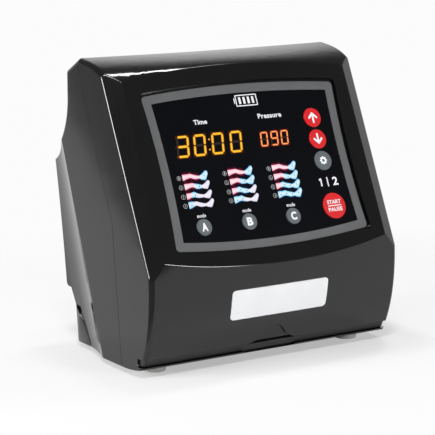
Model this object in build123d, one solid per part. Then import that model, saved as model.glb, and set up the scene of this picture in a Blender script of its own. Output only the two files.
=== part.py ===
from build123d import *
from math import cos, degrees, radians, sin, sqrt, tan
import os

# Compression therapy pump: a glossy two-part housing on a base tray, a sloping control
# panel with travelling keys, and a diaphragm pump, valves, boards and battery inside.
# Millimetres. +Z is up, -Y is the front, and the origin is at the centre of the
# footprint, on the surface that the feet stand on.

# ---------------------------------------------------------------- driving dimensions
# Housing
body_width = 183.2               # across the side walls, above the origin
side_draft = 0.9                 # degrees that each side wall flares towards the back
half_width = body_width / 2
wall = 3.0
foot_height = 3.5                # gap under the base
toe_start, toe_radius = -30.0, 85.0               # the bottom curves up in front of here
ridge_height = 184.4             # middle of the top's rear edge
ridge_y, ridge_rise = 20.5, 1.0  # the ends of that edge stand this much higher
bezel_tilt = 25.0                # degrees back from vertical
panel_y, panel_z = -37.5, 120.5  # centre of the control panel's face
panel_recess = 1.5               # panel face behind the bezel plane
chin_front_y = -65.5             # foremost line of the chin
chin_front_z = 61.8
chin_radius = 117.6              # upright curve of the chin below that line
chin_bows = [                    # height, and plan bow of the chin across the width
    (-10.0, 0.3),
    (12.0, 0.4),
    (36.0, 1.8),
    (61.8, 3.7),
    (90.0, 3.7),
    (123.0, 3.7),
]
bevel_width = 9.85               # side bevel, measured across the front
bevel_depth = 5.1                # side bevel, measured behind the bezel plane
top_stations = [                 # y, drop below the ridge and fall at the sides of the top
    (-18.0, 10.9, 6.5),
    (-11.6, 5.0, 4.8),
    (-2.5, 2.0, 2.0),
    (8.0, 0.6, 0.2),
    (20.5, 0.0, -1.0),
    (28.0, -0.2, -1.2),
]
rear_top_z = ridge_height - 8.0  # foot of the slope behind the ridge
grip_y, grip_z, grip_radius = 82.4, rear_top_z - 16.4, 46.0       # scooped grip across the upper back
rear_top_y = grip_y - grip_radius
rear_wall_y = 65.62              # rearmost line, where the grip meets the back wall
hump_y, hump_z = 55.757, 36.0    # foot of the leaning back wall
tail_step_y, tail_step_z = 49.0, 35.6     # where the hump's underside meets the tail
tail_y, tail_z = 43.2, 26.3      # top of the tail's upright back
tail_low_y = 40.6                # the same back at the ground
rear_foot_half, rear_foot_taper = 84.9, 2.4       # the wider foot block under the hump
rear_foot_back = 3.4             # how far its sides stop short of the tail's back
rear_foot_arc = [(21.4, 3.5), (31.2, 15.6), (39.4, 25.2)]
rear_crease_y, rear_crease_z = 42.3, 132.0        # slanted rear edge of each side
rear_crease_slope = 0.370        # its run in Y for each unit of Z
cove_radius = 115.0              # hollow curve behind that edge
cove_start = 22.0                # degrees that it turns inward at the edge
seam_top = (23.2, ridge_height + 0.2)
seam_bend = (-18.2, 89.7)
seam_low_y = -27.8
seam_gap = 0.3
seat_gap = 0.05                  # between a fitting's flange and the wall it backs onto
reach = 300.0                    # larger than the whole pump, for cutting blocks
fit_gap = 0.15                   # clearance between a piece and its pocket
slide_gap = 0.2                  # clearance around each moving piece
thread_gap = 0.05

# Base
tray_floor, toe_rib = 3.0, 2.0   # the floor is thicker where the toe lifts it
tray_rim_height = 5.0
tray_rim = 2.0
lip_low, lip_high = 7.7, 12.1    # front strip of the tray, heights above the ground
lip_inset = 1.4
lip_gap = 0.4
lip_round, lip_corner = 0.8, 2.0
lip_back_y = -46.6               # where the strip and its slot stop round the corners
foot_radius = 7.0
foot_stud_radius = 2.0
foot_clear = 0.2
feet_at = [(half_width - 19.6, -34.0), (half_width - 25.6, 20.0)]        # right-hand pair
boss_radius = 4.2
base_boss_top, base_pilot_top, base_screw_tip = 40.0, 24.0, 20.0
base_screws_at = [(half_width - 7.2, -36.0), (half_width - 14.0, 24.0)]
case_screw_x, case_screw_z = half_width - 29.6, rear_top_z - 8.4
case_boss_front, case_pilot_y = -3.0, 10.0
case_screw_tip_y, case_screw_seat_y = 12.0, 33.0
case_rib = 2.4
screw_radius, screw_head_radius, screw_head_height = 1.45, 3.0, 2.0

# Chin
scoop_depth, scoop_skin = 3.0, 1.8
scoop_flank = [                  # across from the middle, and height above the strip
    (0.0, 11.2), (2.6, 10.9), (4.8, 9.7), (8.2, 6.0), (11.6, 2.9), (15.6, 1.1), (19.0, 0.5)
]
plate_width, plate_height, plate_corner, plate_z = 70.5, 18.9, 2.5, 40.6
plate_thickness, plate_pocket = 0.8, 0.5

# Control panel, measured from the panel centre: right, up and depth behind its face
frame_corner, frame_top, frame_bottom, frame_side = (70.3, 48.0), 51.5, 52.1, 68.1
frame_rounding, window_rounding, ledge_rounding = 2.5, 0.6, 0.4
window_corner, window_top, window_bottom, window_side = (64.16, 43.05), 45.8, 46.9, 62.6
recess_lip = 1.7
gasket_thickness = 0.5
flange_width, flange_thickness = 3.0, 1.5
window_depth, window_thickness, window_ledge = 0.3, 2.0, 2.0
frame_ledge_thickness = 0.7
key_proud = 0.5
key_travel = 0.4
key_flange, key_flange_thickness = 0.6, 0.8
key_stem_radius = 1.5
round_key_radius, start_key_radius, mode_key_radius = 6.25, 8.3, 5.12
keys = {
    "key_up": (49.15, 25.7, round_key_radius),
    "key_down": (49.15, 11.5, round_key_radius),
    "key_settings": (49.15, -2.7, round_key_radius),
    "key_start": (49.2, -32.2, start_key_radius),
    "key_mode_a": (-47.6, -35.4, mode_key_radius),
    "key_mode_b": (-15.2, -35.4, mode_key_radius),
    "key_mode_c": (17.2, -35.4, mode_key_radius),
}
board_depth, board_thickness = 9.4, 1.6
board_half = (68.8, 44.0)
pillars_at, pillar_radius = (65.4, 36.0), 3.0
switch_side, switch_height, switch_well = 6.0, 3.7, 1.4
display_gap = 0.6                # display faces behind the window
time_display_box = (-30.0, 15.2, 53.0, 18.8)     # right, up, width, height
pressure_display_box = (18.2, 14.9, 25.2, 14.2)
zone_indicator_box = (-13.5, -13.6, 91.0, 24.0)
level_indicator_box = (49.0, -16.4, 17.0, 8.0)

# Back wall sockets, measured along the wall
outlet_z, outlet_x = 102.0, 32.0
outlet_width, outlet_height, outlet_depth = 48.0, 17.0, 14.0
outlet_radius, outlet_length, outlet_pitch = 3.1, 12.0, 10.5
socket_flange, socket_flange_thickness = 3.0, 2.0
hose_bore, barb_radius, barb_length = 1.5, 2.5, 7.0
hose_radius = 3.5
sensor_hose_radius, sensor_barb_radius = 2.4, 1.6
back_row_z = 58.0
jack_x, jack_face_radius, jack_bore_radius, jack_bore_length = -56.0, 5.5, 2.75, 9.0
jack_pin_radius = 1.0
switch_x, switch_body_width, switch_body_height, switch_body_depth = 56.0, 13.0, 19.0, 16.0
rocker_swing = 6.0
vent_width, vent_height, vent_slots = 50.0, 16.0, 9

# Pump
pump_y, pump_z = 14.5, 40.0      # motor axis, which runs across the pump
motor_radius, motor_left, motor_right = 14.0, -62.0, -20.0
bracket_top, bracket_thickness = 22.0, 2.0
case_width, case_half_depth, case_low, case_high = 35.5, 17.0, 23.0, 54.0
crank_radius, crank_throw = 6.0, 1.5
shaft_radius = 1.6
diaphragm_thickness = 1.2
head_height = 12.0
mounts_at = [(-52.0, 3.5), (-52.0, 26.5), (26.0, 3.5), (26.0, 26.5)]
mount_radius, mount_height = 5.5, 8.0

# Manifold and valves
manifold_y, manifold_z = 34.0, 78.0
manifold_half, manifold_depth, manifold_height = 65.0, 16.0, 12.0
manifold_screw_x = manifold_half - 5.0
valve_at = (-39.0, -13.0, 13.0, 39.0)
valve_width, valve_depth, valve_height = 15.0, 24.0, 16.0

# Electronics and battery
main_board_box = (38.0, -30.5, 72.0, 33.0)       # x, y, width, depth
main_board_z = 14.0
cell_radius, cell_length = 9.2, 65.0
battery_x, battery_y = -40.0, -22.8
cell_gap, holder_wall, holder_height = 0.2, 1.6, 12.0
holder_half = 2 * cell_radius + 2 * cell_gap + holder_wall

# ---------------------------------------------------------------- frames
tilt = radians(bezel_tilt)
draft = radians(side_draft)
uphill = Vector(0, sin(tilt), cos(tilt))
outward = Vector(0, -cos(tilt), sin(tilt))
panel_plane = Plane(origin=(0, panel_y, panel_z), x_dir=(1, 0, 0), z_dir=outward)
bezel_plane = panel_plane.offset(panel_recess)
wall_lip_z = grip_z - sqrt(grip_radius**2 - (grip_y - rear_wall_y) ** 2)
wall_up = Vector(0, rear_wall_y - hump_y, wall_lip_z - hump_z).normalized()
wall_out = Vector(0, wall_up.Z, -wall_up.Y)


def on_bezel(p, q, depth=0.0):
    return bezel_plane.from_local_coords(Vector(p, q, -depth))


def behind(origin, normal):
    """Everything on the inner side of a plane."""
    return Plane(origin=origin, z_dir=normal) * Pos(0, 0, -reach / 2) * Box(2 * reach, 2 * reach, reach)


def side_x(y):
    """Half of the body's width at a place along Y."""
    return half_width + y * tan(draft)


# ---------------------------------------------------------------- housing form
def chin_y(z, inset=0.0):
    """The chin's middle line, as far back as the inset takes it."""
    return chin_front_y + chin_radius - sqrt((chin_radius - inset) ** 2 - (chin_front_z - z) ** 2)


def chin_block(inset):
    sections = []
    for z, bow in chin_bows:
        y = chin_y(z, inset)
        side = half_width + 5
        fall = bow * (side / half_width) ** 2
        arch = ThreePointArc((-side, y + fall), (0, y), (side, y + fall))
        rest = Polyline((side, y + fall), (side, reach), (-side, reach), (-side, y + fall))
        sections.append(Pos(0, 0, z) * make_face(arch + rest))
    high = chin_bows[-1][0]
    low_y = chin_y(high, inset)
    above = Pos(0, low_y + reach / 2 + bow, high + reach / 2) * Box(2 * side, reach, reach)
    return loft(sections) + above


def top_cutter(inset):
    sections = []
    for y, drop, fall in top_stations:
        z = ridge_height - drop
        arch = ThreePointArc(
            (-half_width - 5, z - inset - fall), (0, z - inset), (half_width + 5, z - inset - fall)
        )
        sides = Polyline(
            arch @ 1, (half_width + 5, reach), (-half_width - 5, reach), arch @ 0
        )
        plane = Plane(origin=(0, y + 0.3 * inset, 0), x_dir=(1, 0, 0), z_dir=(0, -1, 0))
        sections.append(plane * make_face(arch + sides))
    return loft(sections)


def cove_cutter(side, inset):
    turn = radians(cove_start)
    run, rise = cove_radius * cos(turn), cove_radius * sin(turn)
    middle = (run - cove_radius * cos(turn / 2), rise - cove_radius * sin(turn / 2))
    end = (run - cove_radius, rise)
    profile = ThreePointArc((0, 0), middle, end)
    profile += Polyline(end, (end[0], reach), (reach, reach), (reach, 0), (0, 0))
    plane = Plane(
        origin=(side * (side_x(rear_crease_y) - inset), rear_crease_y - 0.3 * inset, rear_crease_z),
        x_dir=(side, 0, 0),
        z_dir=(tan(draft) * rear_crease_slope, side * rear_crease_slope, side),
    )
    return extrude(plane * make_face(profile), reach, both=True)


def housing(inset=0.0):
    """The body's form, set in by the same amount all round."""
    ridge_z = ridge_height + ridge_rise
    slope = (ridge_z - rear_top_z) / (rear_top_y - ridge_y)
    radius = grip_radius + inset
    foot_y, foot_z = hump_y - inset * wall_up.Z, hump_z + inset * wall_up.Y
    run_y, run_z = foot_y - grip_y, foot_z - grip_z
    along = run_y * wall_up.Y + run_z * wall_up.Z
    climb = -along - sqrt(along**2 - (run_y**2 + run_z**2 - radius**2))
    lip_y, lip_z = foot_y + climb * wall_up.Y, foot_z + climb * wall_up.Z
    grip_mid = (grip_y - radius * cos(radians(35)), grip_z - radius * sin(radians(35)))
    back = Polyline(
        (grip_y - radius, grip_z),
        (rear_top_y - inset, rear_top_z),
        (ridge_y - 20 - inset, ridge_z - inset + 20 * slope),
        (-reach, ridge_z - inset + 20 * slope),
        (-reach, 0),
        (tail_low_y - inset, 0),
        (tail_y - 0.98 * inset, tail_z + 0.31 * inset),
        (tail_step_y - 0.61 * inset, tail_step_z + 0.94 * inset),
        (foot_y + inset * wall_up.Y, foot_z + inset),
        (lip_y, lip_z),
    )
    back += ThreePointArc((lip_y, lip_z), grip_mid, (grip_y - radius, grip_z))
    form = extrude(make_face(Plane.YZ * back), body_width, both=True)
    form &= behind(on_bezel(0, 0, inset), outward)
    form &= chin_block(inset)
    edge_x = side_x(on_bezel(0, 0, bevel_depth).Y)
    for side in (-1, 1):
        form &= behind((side * (half_width - inset), 0, 0), (side * cos(draft), -sin(draft), 0))
        shoulder = on_bezel(side * (edge_x - bevel_width), 0)
        edge = on_bezel(side * edge_x, 0, bevel_depth)
        facing = (edge - shoulder).cross(uphill).normalized() * side
        form &= behind(shoulder - facing * inset, facing)
        form -= cove_cutter(side, inset)
    return form - top_cutter(inset)


def pick(solid, test):
    return [edge for edge in solid.edges() if test(edge.center(), edge.length)]


def near(value, target, reach_of=1.5):
    return abs(value - target) < reach_of


def on_side(centre):
    return near(abs(centre.X), side_x(centre.Y), 0.3)


def rounded_housing():
    form = housing() & Pos(0, 0, foot_height + reach / 2) * Box(2 * reach, 2 * reach, reach)
    crease = on_bezel(0, -(panel_z - chin_front_z) / cos(tilt))
    top_front_z = ridge_height - top_stations[1][1]
    form = fillet(pick(form, lambda c, n: near(c.X, 0) and near(c.Z, top_front_z) and c.Y < 0), 1.5)
    form = fillet(pick(form, lambda c, n: on_side(c) and c.Z > rear_top_z), 3.0)
    form = fillet(pick(form, lambda c, n: near(c.X, 0) and near(c.Z, hump_z) and c.Y > tail_step_y + 3), 3.0)
    form = fillet(pick(form, lambda c, n: near(c.X, 0) and near(c.Z, ridge_height, 0.8) and c.Y > 0), 2.0)
    form = fillet(pick(form, lambda c, n: c.Y < chin_front_y + 2 and c.Z > crease.Z - 4 and n > half_width), 2.0)
    form = fillet(pick(form, lambda c, n: on_side(c) and c.Y < panel_y - 8 and c.Z < chin_front_z), 3.0)
    form = fillet(pick(form, lambda c, n: near(c.X, 0) and near(c.Z, rear_top_z, 0.8) and c.Y > ridge_y), 3.0)
    form = fillet(pick(form, lambda c, n: on_side(c) and near(c.Z, panel_z, 5) and c.Y < 0 and n > 100), 1.8)
    form = fillet(pick(form, lambda c, n: on_side(c) and near(c.Z, rear_crease_z / 2, 5) and n > 100), 1.5)
    return fillet(pick(form, lambda c, n: near(c.X, 0) and near(c.Z, wall_lip_z)), 1.0)


def rear_foot():
    """The wide block that the back of the body stands on, its sides tapering outwards."""
    lean = (tail_y - tail_low_y) / tail_z
    ends = []
    for x, grow, back in (
        (rear_foot_half, 0.0, tail_low_y - rear_foot_back),
        (rear_foot_half - rear_foot_taper, rear_foot_taper, tail_low_y),
    ):
        (start_y, start_z), (mid_y, mid_z), (end_y, end_z) = rear_foot_arc
        start_y, mid_y, mid_z, end_z = start_y - grow, mid_y - 0.7 * grow, mid_z + 0.7 * grow, end_z + grow
        end_y = back + end_z * lean
        outline = ThreePointArc((start_y, start_z), (mid_y, mid_z), (end_y, end_z))
        outline += Polyline((end_y, end_z), (back + start_z * lean, start_z), (start_y, start_z))
        ends.append((x, make_face(Plane.YZ * outline)))
    (wide, outer), (narrow, inner) = ends
    block_form = extrude(inner, narrow, both=True)
    for side in (1, -1):
        block_form += loft([Pos(side * narrow, 0, 0) * inner, Pos(side * wide, 0, 0) * outer], ruled=True)
    return block_form


def toe():
    """Everything below the curve that lifts the bottom towards the front."""
    far = toe_start - toe_radius / 2
    lift = toe_radius - sqrt(toe_radius**2 - (far - toe_start) ** 2)
    middle = toe_start - toe_radius / 4
    rise = toe_radius - sqrt(toe_radius**2 - (middle - toe_start) ** 2)
    arc = ThreePointArc((toe_start, foot_height), (middle, foot_height + rise), (far, foot_height + lift))
    arc += Polyline((far, foot_height + lift), (far, -1), (toe_start, -1), (toe_start, foot_height))
    return extrude(make_face(Plane.YZ * arc), reach, both=True)


toe_cut = toe()
outer_form = rounded_housing() + rear_foot() - toe_cut
inner_form = housing(wall)


# ---------------------------------------------------------------- helpers
def save(name, shape):
    export_step(shape, os.path.join("parts", f"{name}.step"))


def block(low, high):
    """A box between two opposite corners."""
    size = [b - a for a, b in zip(low, high)]
    centre = [(a + b) / 2 for a, b in zip(low, high)]
    return Pos(*centre) * Box(*size)


def post(x, y, low, high, radius):
    return Pos(x, y, (low + high) / 2) * Cylinder(radius, high - low)


def mirrored(points):
    return [(side * x, y) for side in (1, -1) for x, y in points]


def joined(shapes):
    shapes = list(shapes)
    total = shapes[0]
    for shape in shapes[1:]:
        total += shape
    return total


def in_panel(p, q, start, end, face):
    """A flat face drawn on the panel, made solid between two depths."""
    return extrude(panel_plane.offset(-start) * Pos(p, q) * face, -(end - start))


def panel_box(area, start, end, inset=0.0):
    p, q, width, height = area
    return in_panel(p, q, start, end, Rectangle(width - 2 * inset, height - 2 * inset))


def bowed(corner, top, bottom, side, grow=0.0, rounding=3.0):
    """The control panel's outline: four shallow arcs with small round corners."""
    w, h = corner[0] + grow, corner[1] + grow
    outline = ThreePointArc((-w, h), (0, top + grow), (w, h))
    outline += ThreePointArc((w, h), (side + grow, 0), (w, -h))
    outline += ThreePointArc((w, -h), (0, -bottom - grow), (-w, -h))
    outline += ThreePointArc((-w, -h), (-side - grow, 0), (-w, h))
    face = make_face(outline)
    return fillet(face.vertices(), rounding)


def frame_outline(grow=0.0):
    return bowed(frame_corner, frame_top, frame_bottom, frame_side, grow, frame_rounding + grow / 2)


def window_outline(grow=0.0, rounding=window_rounding):
    return bowed(window_corner, window_top, window_bottom, window_side, grow, rounding)


def wall_frame(x, z):
    """X across the pump, Y up the leaning back wall and Z straight out of it."""
    y = hump_y + (z - hump_z) * wall_up.Y / wall_up.Z
    return Plane(origin=(x, y, z), x_dir=(-1, 0, 0), z_dir=wall_out)


def in_wall(x, z, start, end, face):
    """A face drawn on the back wall, made solid between two levels along its normal."""
    return extrude(wall_frame(x, z).offset(start) * face, end - start)


def hose(start, leaving, end, arriving, radius, bore, hold):
    """A flexible tube between two nozzles, straight where it grips each of them."""
    start, end = Vector(*start), Vector(*end)
    leaving, arriving = Vector(*leaving).normalized(), Vector(*arriving).normalized()
    first, last = start + leaving * hold, end - arriving * hold
    path = Line(start, first)
    path += Spline(first, last, tangents=(leaving, arriving))
    path += Line(last, end)
    section = Plane(origin=start, z_dir=leaving) * (Circle(radius) - Circle(bore))
    return sweep(section, path=path)


def seam_region(shift, front=True):
    """All that lies in front of, or behind, the seam between the two shells."""
    lean = (seam_top[0] - seam_bend[0]) / (seam_top[1] - seam_bend[1])
    low_lean = (seam_bend[0] - seam_low_y) / (seam_bend[1] - foot_height)
    line = [
        (seam_top[0] + (reach - seam_top[1]) * lean + shift, reach),
        (seam_bend[0] + shift, seam_bend[1]),
        (seam_low_y - (reach + foot_height) * low_lean + shift, -reach),
    ]
    far = -reach if front else reach
    points = line + [(far, -reach), (far, reach)]
    return extrude(make_face(Plane.YZ * Polyline(*points, close=True)), reach, both=True)


# ---------------------------------------------------------------- depths behind the panel face
wall_inside = wall - panel_recess
gasket_back = wall_inside + gasket_thickness
flange_back = gasket_back + flange_thickness
window_back = window_depth + window_thickness
key_flange_front = window_back + 0.1
key_flange_back = key_flange_front + key_flange_thickness
display_front = window_back + display_gap
switch_front = board_depth - switch_height
stem_tip = switch_front + 0.7

# ---------------------------------------------------------------- shells
hull = outer_form - inner_form
lip_ring = housing(wall + 0.1) - housing(wall + 1.4)
bosses = [post(side * x, y, tray_floor + foot_height, base_boss_top, boss_radius) for x, y in base_screws_at for side in (1, -1)]


def case_boss(side, grow=0.0):
    """One screw boss of the shells, hung from the top wall by a rib."""
    x, span = side * case_screw_x, grip_y - grip_radius - case_boss_front
    boss = Pos(x, case_boss_front + span / 2, case_screw_z) * Rot(90, 0, 0) * Cylinder(boss_radius + grow, span)
    half_rib = case_rib / 2 + grow
    return boss + block(
        (x - half_rib, case_boss_front, case_screw_z), (x + half_rib, grip_y - grip_radius, ridge_height)
    )


case_bosses = [case_boss(side) for side in (1, -1)]
manifold_boss_y = manifold_y + manifold_depth / 2
boss_reach = rear_wall_y - manifold_boss_y
manifold_bosses = [
    Pos(side * manifold_screw_x, manifold_boss_y + boss_reach / 2, manifold_z)
    * Rot(90, 0, 0)
    * Cylinder(boss_radius, boss_reach)
    for side in (1, -1)
]
hull += joined(bosses + case_bosses + manifold_bosses) & housing(wall / 2)

pilot = screw_radius + thread_gap
for x, y in mirrored(base_screws_at):
    hull -= post(x, y, 0, base_pilot_top, pilot)
for side in (1, -1):
    hull -= Pos(side * case_screw_x, case_pilot_y + reach / 2, case_screw_z) * Rot(90, 0, 0) * Cylinder(pilot, reach)
    hull -= Pos(side * case_screw_x, case_screw_seat_y + reach / 2, case_screw_z) * Rot(90, 0, 0) * Cylinder(
        screw_head_radius + fit_gap, reach
    )
    hull -= Pos(side * manifold_screw_x, manifold_boss_y + 4, manifold_z) * Rot(90, 0, 0) * Cylinder(pilot, 10)

front_shell = hull & seam_region(-seam_gap / 2)
rear_shell = hull & seam_region(seam_gap / 2, front=False)

# The rear shell's inner lip covers the seam from behind.
lip_band = seam_region(4.0) & seam_region(-4.0, front=False)
lip_root = (housing(wall - 0.2) - housing(wall + 1.4)) & seam_region(4.0) & seam_region(seam_gap / 2, front=False)
clear_low = block((-reach, -reach, foot_height + 14), (reach, reach, reach))
rear_shell += ((lip_ring & lip_band) + lip_root) & clear_low
for side in (1, -1):
    rear_shell -= case_boss(side, fit_gap) & seam_region(seam_gap / 2)

# Front shell: seat and opening for the control panel, slot for the tray's strip, the
# finger scoop and a shallow pocket for the nameplate.
front_shell -= in_panel(0, 0, -reach / 10, 0, frame_outline(recess_lip))
front_shell -= in_panel(0, 0, -reach / 10, wall_inside + 1, frame_outline(fit_gap))
front_shell -= block((-reach, -reach, lip_low - lip_gap), (reach, lip_back_y + lip_gap, lip_high + lip_gap))


def scoop_prism(grow):
    """The bell-shaped finger scoop, as a block through the front wall."""
    right = [(x + grow, lip_high + height + grow) for x, height in scoop_flank[1:]]
    crown = (0, lip_high + scoop_flank[0][1] + grow)
    left = [(-x, z) for x, z in reversed(right)]
    curve = Spline(*left, crown, *right, tangents=((1, 0), (1, 0)))
    far_x, low = right[-1][0], lip_high - 6
    curve += Polyline(right[-1], (far_x, low), (-far_x, low), left[0])
    plane = Plane(origin=(0, chin_front_y - 5, 0), x_dir=(1, 0, 0), z_dir=(0, -1, 0))
    return extrude(plane * make_face(curve), -25)


scoop_back = scoop_prism(scoop_skin) & (chin_block(wall / 2) - chin_block(scoop_depth + scoop_skin))
scoop_back &= block((-reach, -reach, lip_high + lip_gap), (reach, reach, reach))
front_shell = front_shell + scoop_back - (scoop_prism(0.0) - chin_block(scoop_depth))


def chin_plate(inset, thickness, grow=0.0):
    skin = chin_block(inset) - chin_block(inset + thickness)
    shape = RectangleRounded(plate_width + 2 * grow, plate_height + 2 * grow, plate_corner + grow)
    return skin & extrude(Plane(origin=(0, panel_y, plate_z), x_dir=(1, 0, 0), z_dir=(0, -1, 0)) * shape, reach)


front_shell -= chin_plate(-1.0, 1.0 + plate_pocket, fit_gap)

# Rear shell: openings for the sockets, the power inlet, the switch and the vent.
for side in (1, -1):
    rear_shell -= in_wall(
        side * outlet_x, outlet_z, -wall - 3, 5,
        RectangleRounded(outlet_width + 2 * fit_gap, outlet_height + 2 * fit_gap, 3 + fit_gap),
    )
rear_shell -= in_wall(jack_x, back_row_z, -wall - 3, 5, Circle(jack_face_radius + fit_gap))
rear_shell -= in_wall(
    switch_x, back_row_z, -wall - 3, 5, Rectangle(switch_body_width + 2 * fit_gap, switch_body_height + 2 * fit_gap)
)
rear_shell -= in_wall(
    0, back_row_z, -wall - 3, 5, RectangleRounded(vent_width + 2 * fit_gap, vent_height + 2 * fit_gap, 3 + fit_gap)
)
save("front_shell", front_shell)
save("rear_shell", rear_shell)
save("nameplate", chin_plate(plate_pocket - plate_thickness, plate_thickness))

# ---------------------------------------------------------------- base tray
deck = foot_height + tray_floor
shell_play = wall + 0.3
floor_form = housing(shell_play)
rim_form = floor_form - housing(shell_play + tray_rim)
base_tray = floor_form & block((-reach, -reach, foot_height), (reach, reach, deck))
base_tray += rim_form & block((-reach, -reach, foot_height), (reach, reach, deck + tray_rim_height))
base_tray += floor_form & block((-reach, -reach, foot_height), (reach, battery_y - holder_half - 0.5, deck + toe_rib))
strip = housing(lip_inset) & block((-reach, -reach, lip_low), (reach, lip_back_y, lip_high))
strip = fillet(
    pick(strip, lambda c, n: near(abs(c.X), side_x(c.Y) - lip_inset, 0.3) and c.Y < lip_back_y - 3 and n < 6), lip_corner
)
strip = fillet(
    pick(strip, lambda c, n: c.Y < lip_back_y - 0.5 and (near(c.Z, lip_low, 0.1) or near(c.Z, lip_high, 0.1))), lip_round
)
base_tray += strip - housing(shell_play + tray_rim)
mount_pad_top = bracket_top - bracket_thickness - mount_height
for x, y in mounts_at:
    base_tray += post(x, y, foot_height, mount_pad_top, mount_radius - 1)
    base_tray -= post(x, y, foot_height + 1, mount_pad_top + 1, pilot)
board_x, board_y, board_w, board_d = main_board_box
board_posts = [(board_x + a * (board_w / 2 - 4), board_y + b * (board_d / 2 - 4)) for a in (1, -1) for b in (1, -1)]
for x, y in board_posts:
    base_tray += post(x, y, foot_height, main_board_z, 3.0)
    base_tray -= post(x, y, foot_height + 2, main_board_z + 1, pilot)
base_tray -= toe_cut
for x, y in mirrored(feet_at):
    base_tray -= post(x, y, 0, reach, foot_stud_radius + thread_gap)
for x, y in mirrored(base_screws_at):
    base_tray -= post(x, y, deck, reach, boss_radius + fit_gap)
    base_tray -= post(x, y, 0, deck + 1, screw_radius + fit_gap)
    base_tray -= post(x, y, 0, foot_height + 1.8, screw_head_radius + fit_gap)
save("base_tray", base_tray)

feet = joined(
    post(x, y, 0, foot_height, foot_radius) + post(x, y, foot_height, deck - foot_clear, foot_stud_radius)
    for x, y in mirrored(feet_at)
)
save("rubber_feet", feet)
save("base_screws", joined(
    post(x, y, foot_height + 0.1, foot_height + 1.8, screw_head_radius) + post(x, y, foot_height + 1, base_screw_tip, screw_radius)
    for x, y in mirrored(base_screws_at)
))


def case_screw(side, head_y, tip_y, z, x):
    head = Pos(side * x, head_y - screw_head_height / 2, z) * Rot(90, 0, 0) * Cylinder(screw_head_radius, screw_head_height)
    shank = Pos(side * x, (head_y + tip_y) / 2, z) * Rot(90, 0, 0) * Cylinder(screw_radius, abs(head_y - tip_y))
    return head + shank


save("case_screws", joined(
    case_screw(side, case_screw_seat_y + screw_head_height, case_screw_tip_y, case_screw_z, case_screw_x)
    for side in (1, -1)
))

# ---------------------------------------------------------------- control panel
save("panel_gasket", in_panel(0, 0, wall_inside, gasket_back, frame_outline(flange_width) - frame_outline(fit_gap)))

panel_frame = in_panel(0, 0, 0, flange_back, frame_outline())
panel_frame += in_panel(0, 0, gasket_back, flange_back, frame_outline(flange_width))
panel_frame -= in_panel(0, 0, -1, window_back, window_outline(fit_gap))
panel_frame -= in_panel(0, 0, window_back, flange_back + 1, window_outline(-window_ledge, ledge_rounding))
pillars = [(a * pillars_at[0], b * pillars_at[1]) for a in (1, -1) for b in (1, -1)]
for p, q in pillars:
    panel_frame += in_panel(p, q, flange_back - 0.5, board_depth, Circle(pillar_radius))
    panel_frame -= in_panel(p, q, window_back + 1.2, board_depth + 1, Circle(pilot))
save("panel_frame", panel_frame)

window = in_panel(0, 0, window_depth, window_back, window_outline())
for p, q, radius in keys.values():
    window -= in_panel(p, q, -1, window_back + 1, Circle(radius + slide_gap))
save("display_window", window)

for name, (p, q, radius) in keys.items():
    cap = in_panel(p, q, -key_proud, key_flange_back, Circle(radius))
    front = [e for e in cap.edges() if e.geom_type == GeomType.CIRCLE and panel_plane.to_local_coords(e.center()).Z > 0]
    cap = fillet(front, 0.4)
    cap += in_panel(p, q, key_flange_front, key_flange_back, Circle(radius + key_flange))
    cap += in_panel(p, q, key_flange_back, stem_tip, Circle(key_stem_radius))
    save(name, cap)

switches = []
for p, q, _ in keys.values():
    body = panel_box((p, q, switch_side, switch_side), switch_front, board_depth)
    body -= in_panel(p, q, switch_front - 1, switch_front + switch_well, Circle(key_stem_radius + slide_gap))
    switches.append(body)
save("tact_switches", joined(switches))


def seven_segments(p, q, width, height, bar, lean, depth, lit="abcdefg"):
    """Raised bars of one digit; p and q are its lower left corner."""
    half = height / 2
    spots = {
        "a": (width / 2, height - bar / 2, True), "g": (width / 2, half, True), "d": (width / 2, bar / 2, True),
        "f": (bar / 2, half * 1.5, False), "b": (width - bar / 2, half * 1.5, False),
        "e": (bar / 2, half * 0.5, False), "c": (width - bar / 2, half * 0.5, False),
    }
    bars = []
    for key in lit:
        x, y, flat = spots[key]
        size = (width - 2 * bar, bar * 0.92) if flat else (bar * 0.92, half - bar)
        bars.append(in_panel(p + x + (y - half) * lean, q + y, depth, depth + 0.4, Rectangle(*size)))
    return joined(bars)


time_display = panel_box(time_display_box, display_front + 0.4, board_depth)
for p in (-53.3, -41.2, -28.1, -15.0):
    time_display += seven_segments(p, 8.3, 8.8, 13.7, 1.7, tan(radians(9.5)), display_front + 0.0)
save("time_display", time_display)
pressure_display = panel_box(pressure_display_box, display_front + 0.4, board_depth)
for p in (7.0, 14.7, 22.3):
    pressure_display += seven_segments(p, 10.2, 5.5, 9.4, 1.15, tan(radians(8.0)), display_front + 0.0)
save("pressure_display", pressure_display)

zone_indicator = panel_box(zone_indicator_box, display_front, board_depth)
for p in (-45.0, -12.5, 20.0):
    for row in range(4):
        zone_indicator -= panel_box((p, -4.4 - 5.8 * row, 22.0, 4.4), display_front - 1, board_depth - 3)
save("zone_indicator", zone_indicator)
level_indicator = panel_box(level_indicator_box, display_front, board_depth)
for p in (-4.2, 4.2):
    level_indicator -= panel_box(
        (level_indicator_box[0] + p, level_indicator_box[1], 5.6, 5.6), display_front - 1, board_depth - 3
    )
save("level_indicator", level_indicator)

board_back = board_depth + board_thickness
display_board = in_panel(0, 0, board_depth, board_back, RectangleRounded(2 * board_half[0], 2 * board_half[1], 3))
for p, q in pillars:
    display_board -= in_panel(p, q, board_depth - 1, board_back + 1, Circle(screw_radius + fit_gap))
save("display_board", display_board)
save("board_screws", joined(
    in_panel(p, q, board_back, board_back + screw_head_height, Circle(screw_head_radius - 0.2))
    + in_panel(p, q, window_back + 2.4, board_back, Circle(screw_radius))
    for p, q in pillars
))

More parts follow.
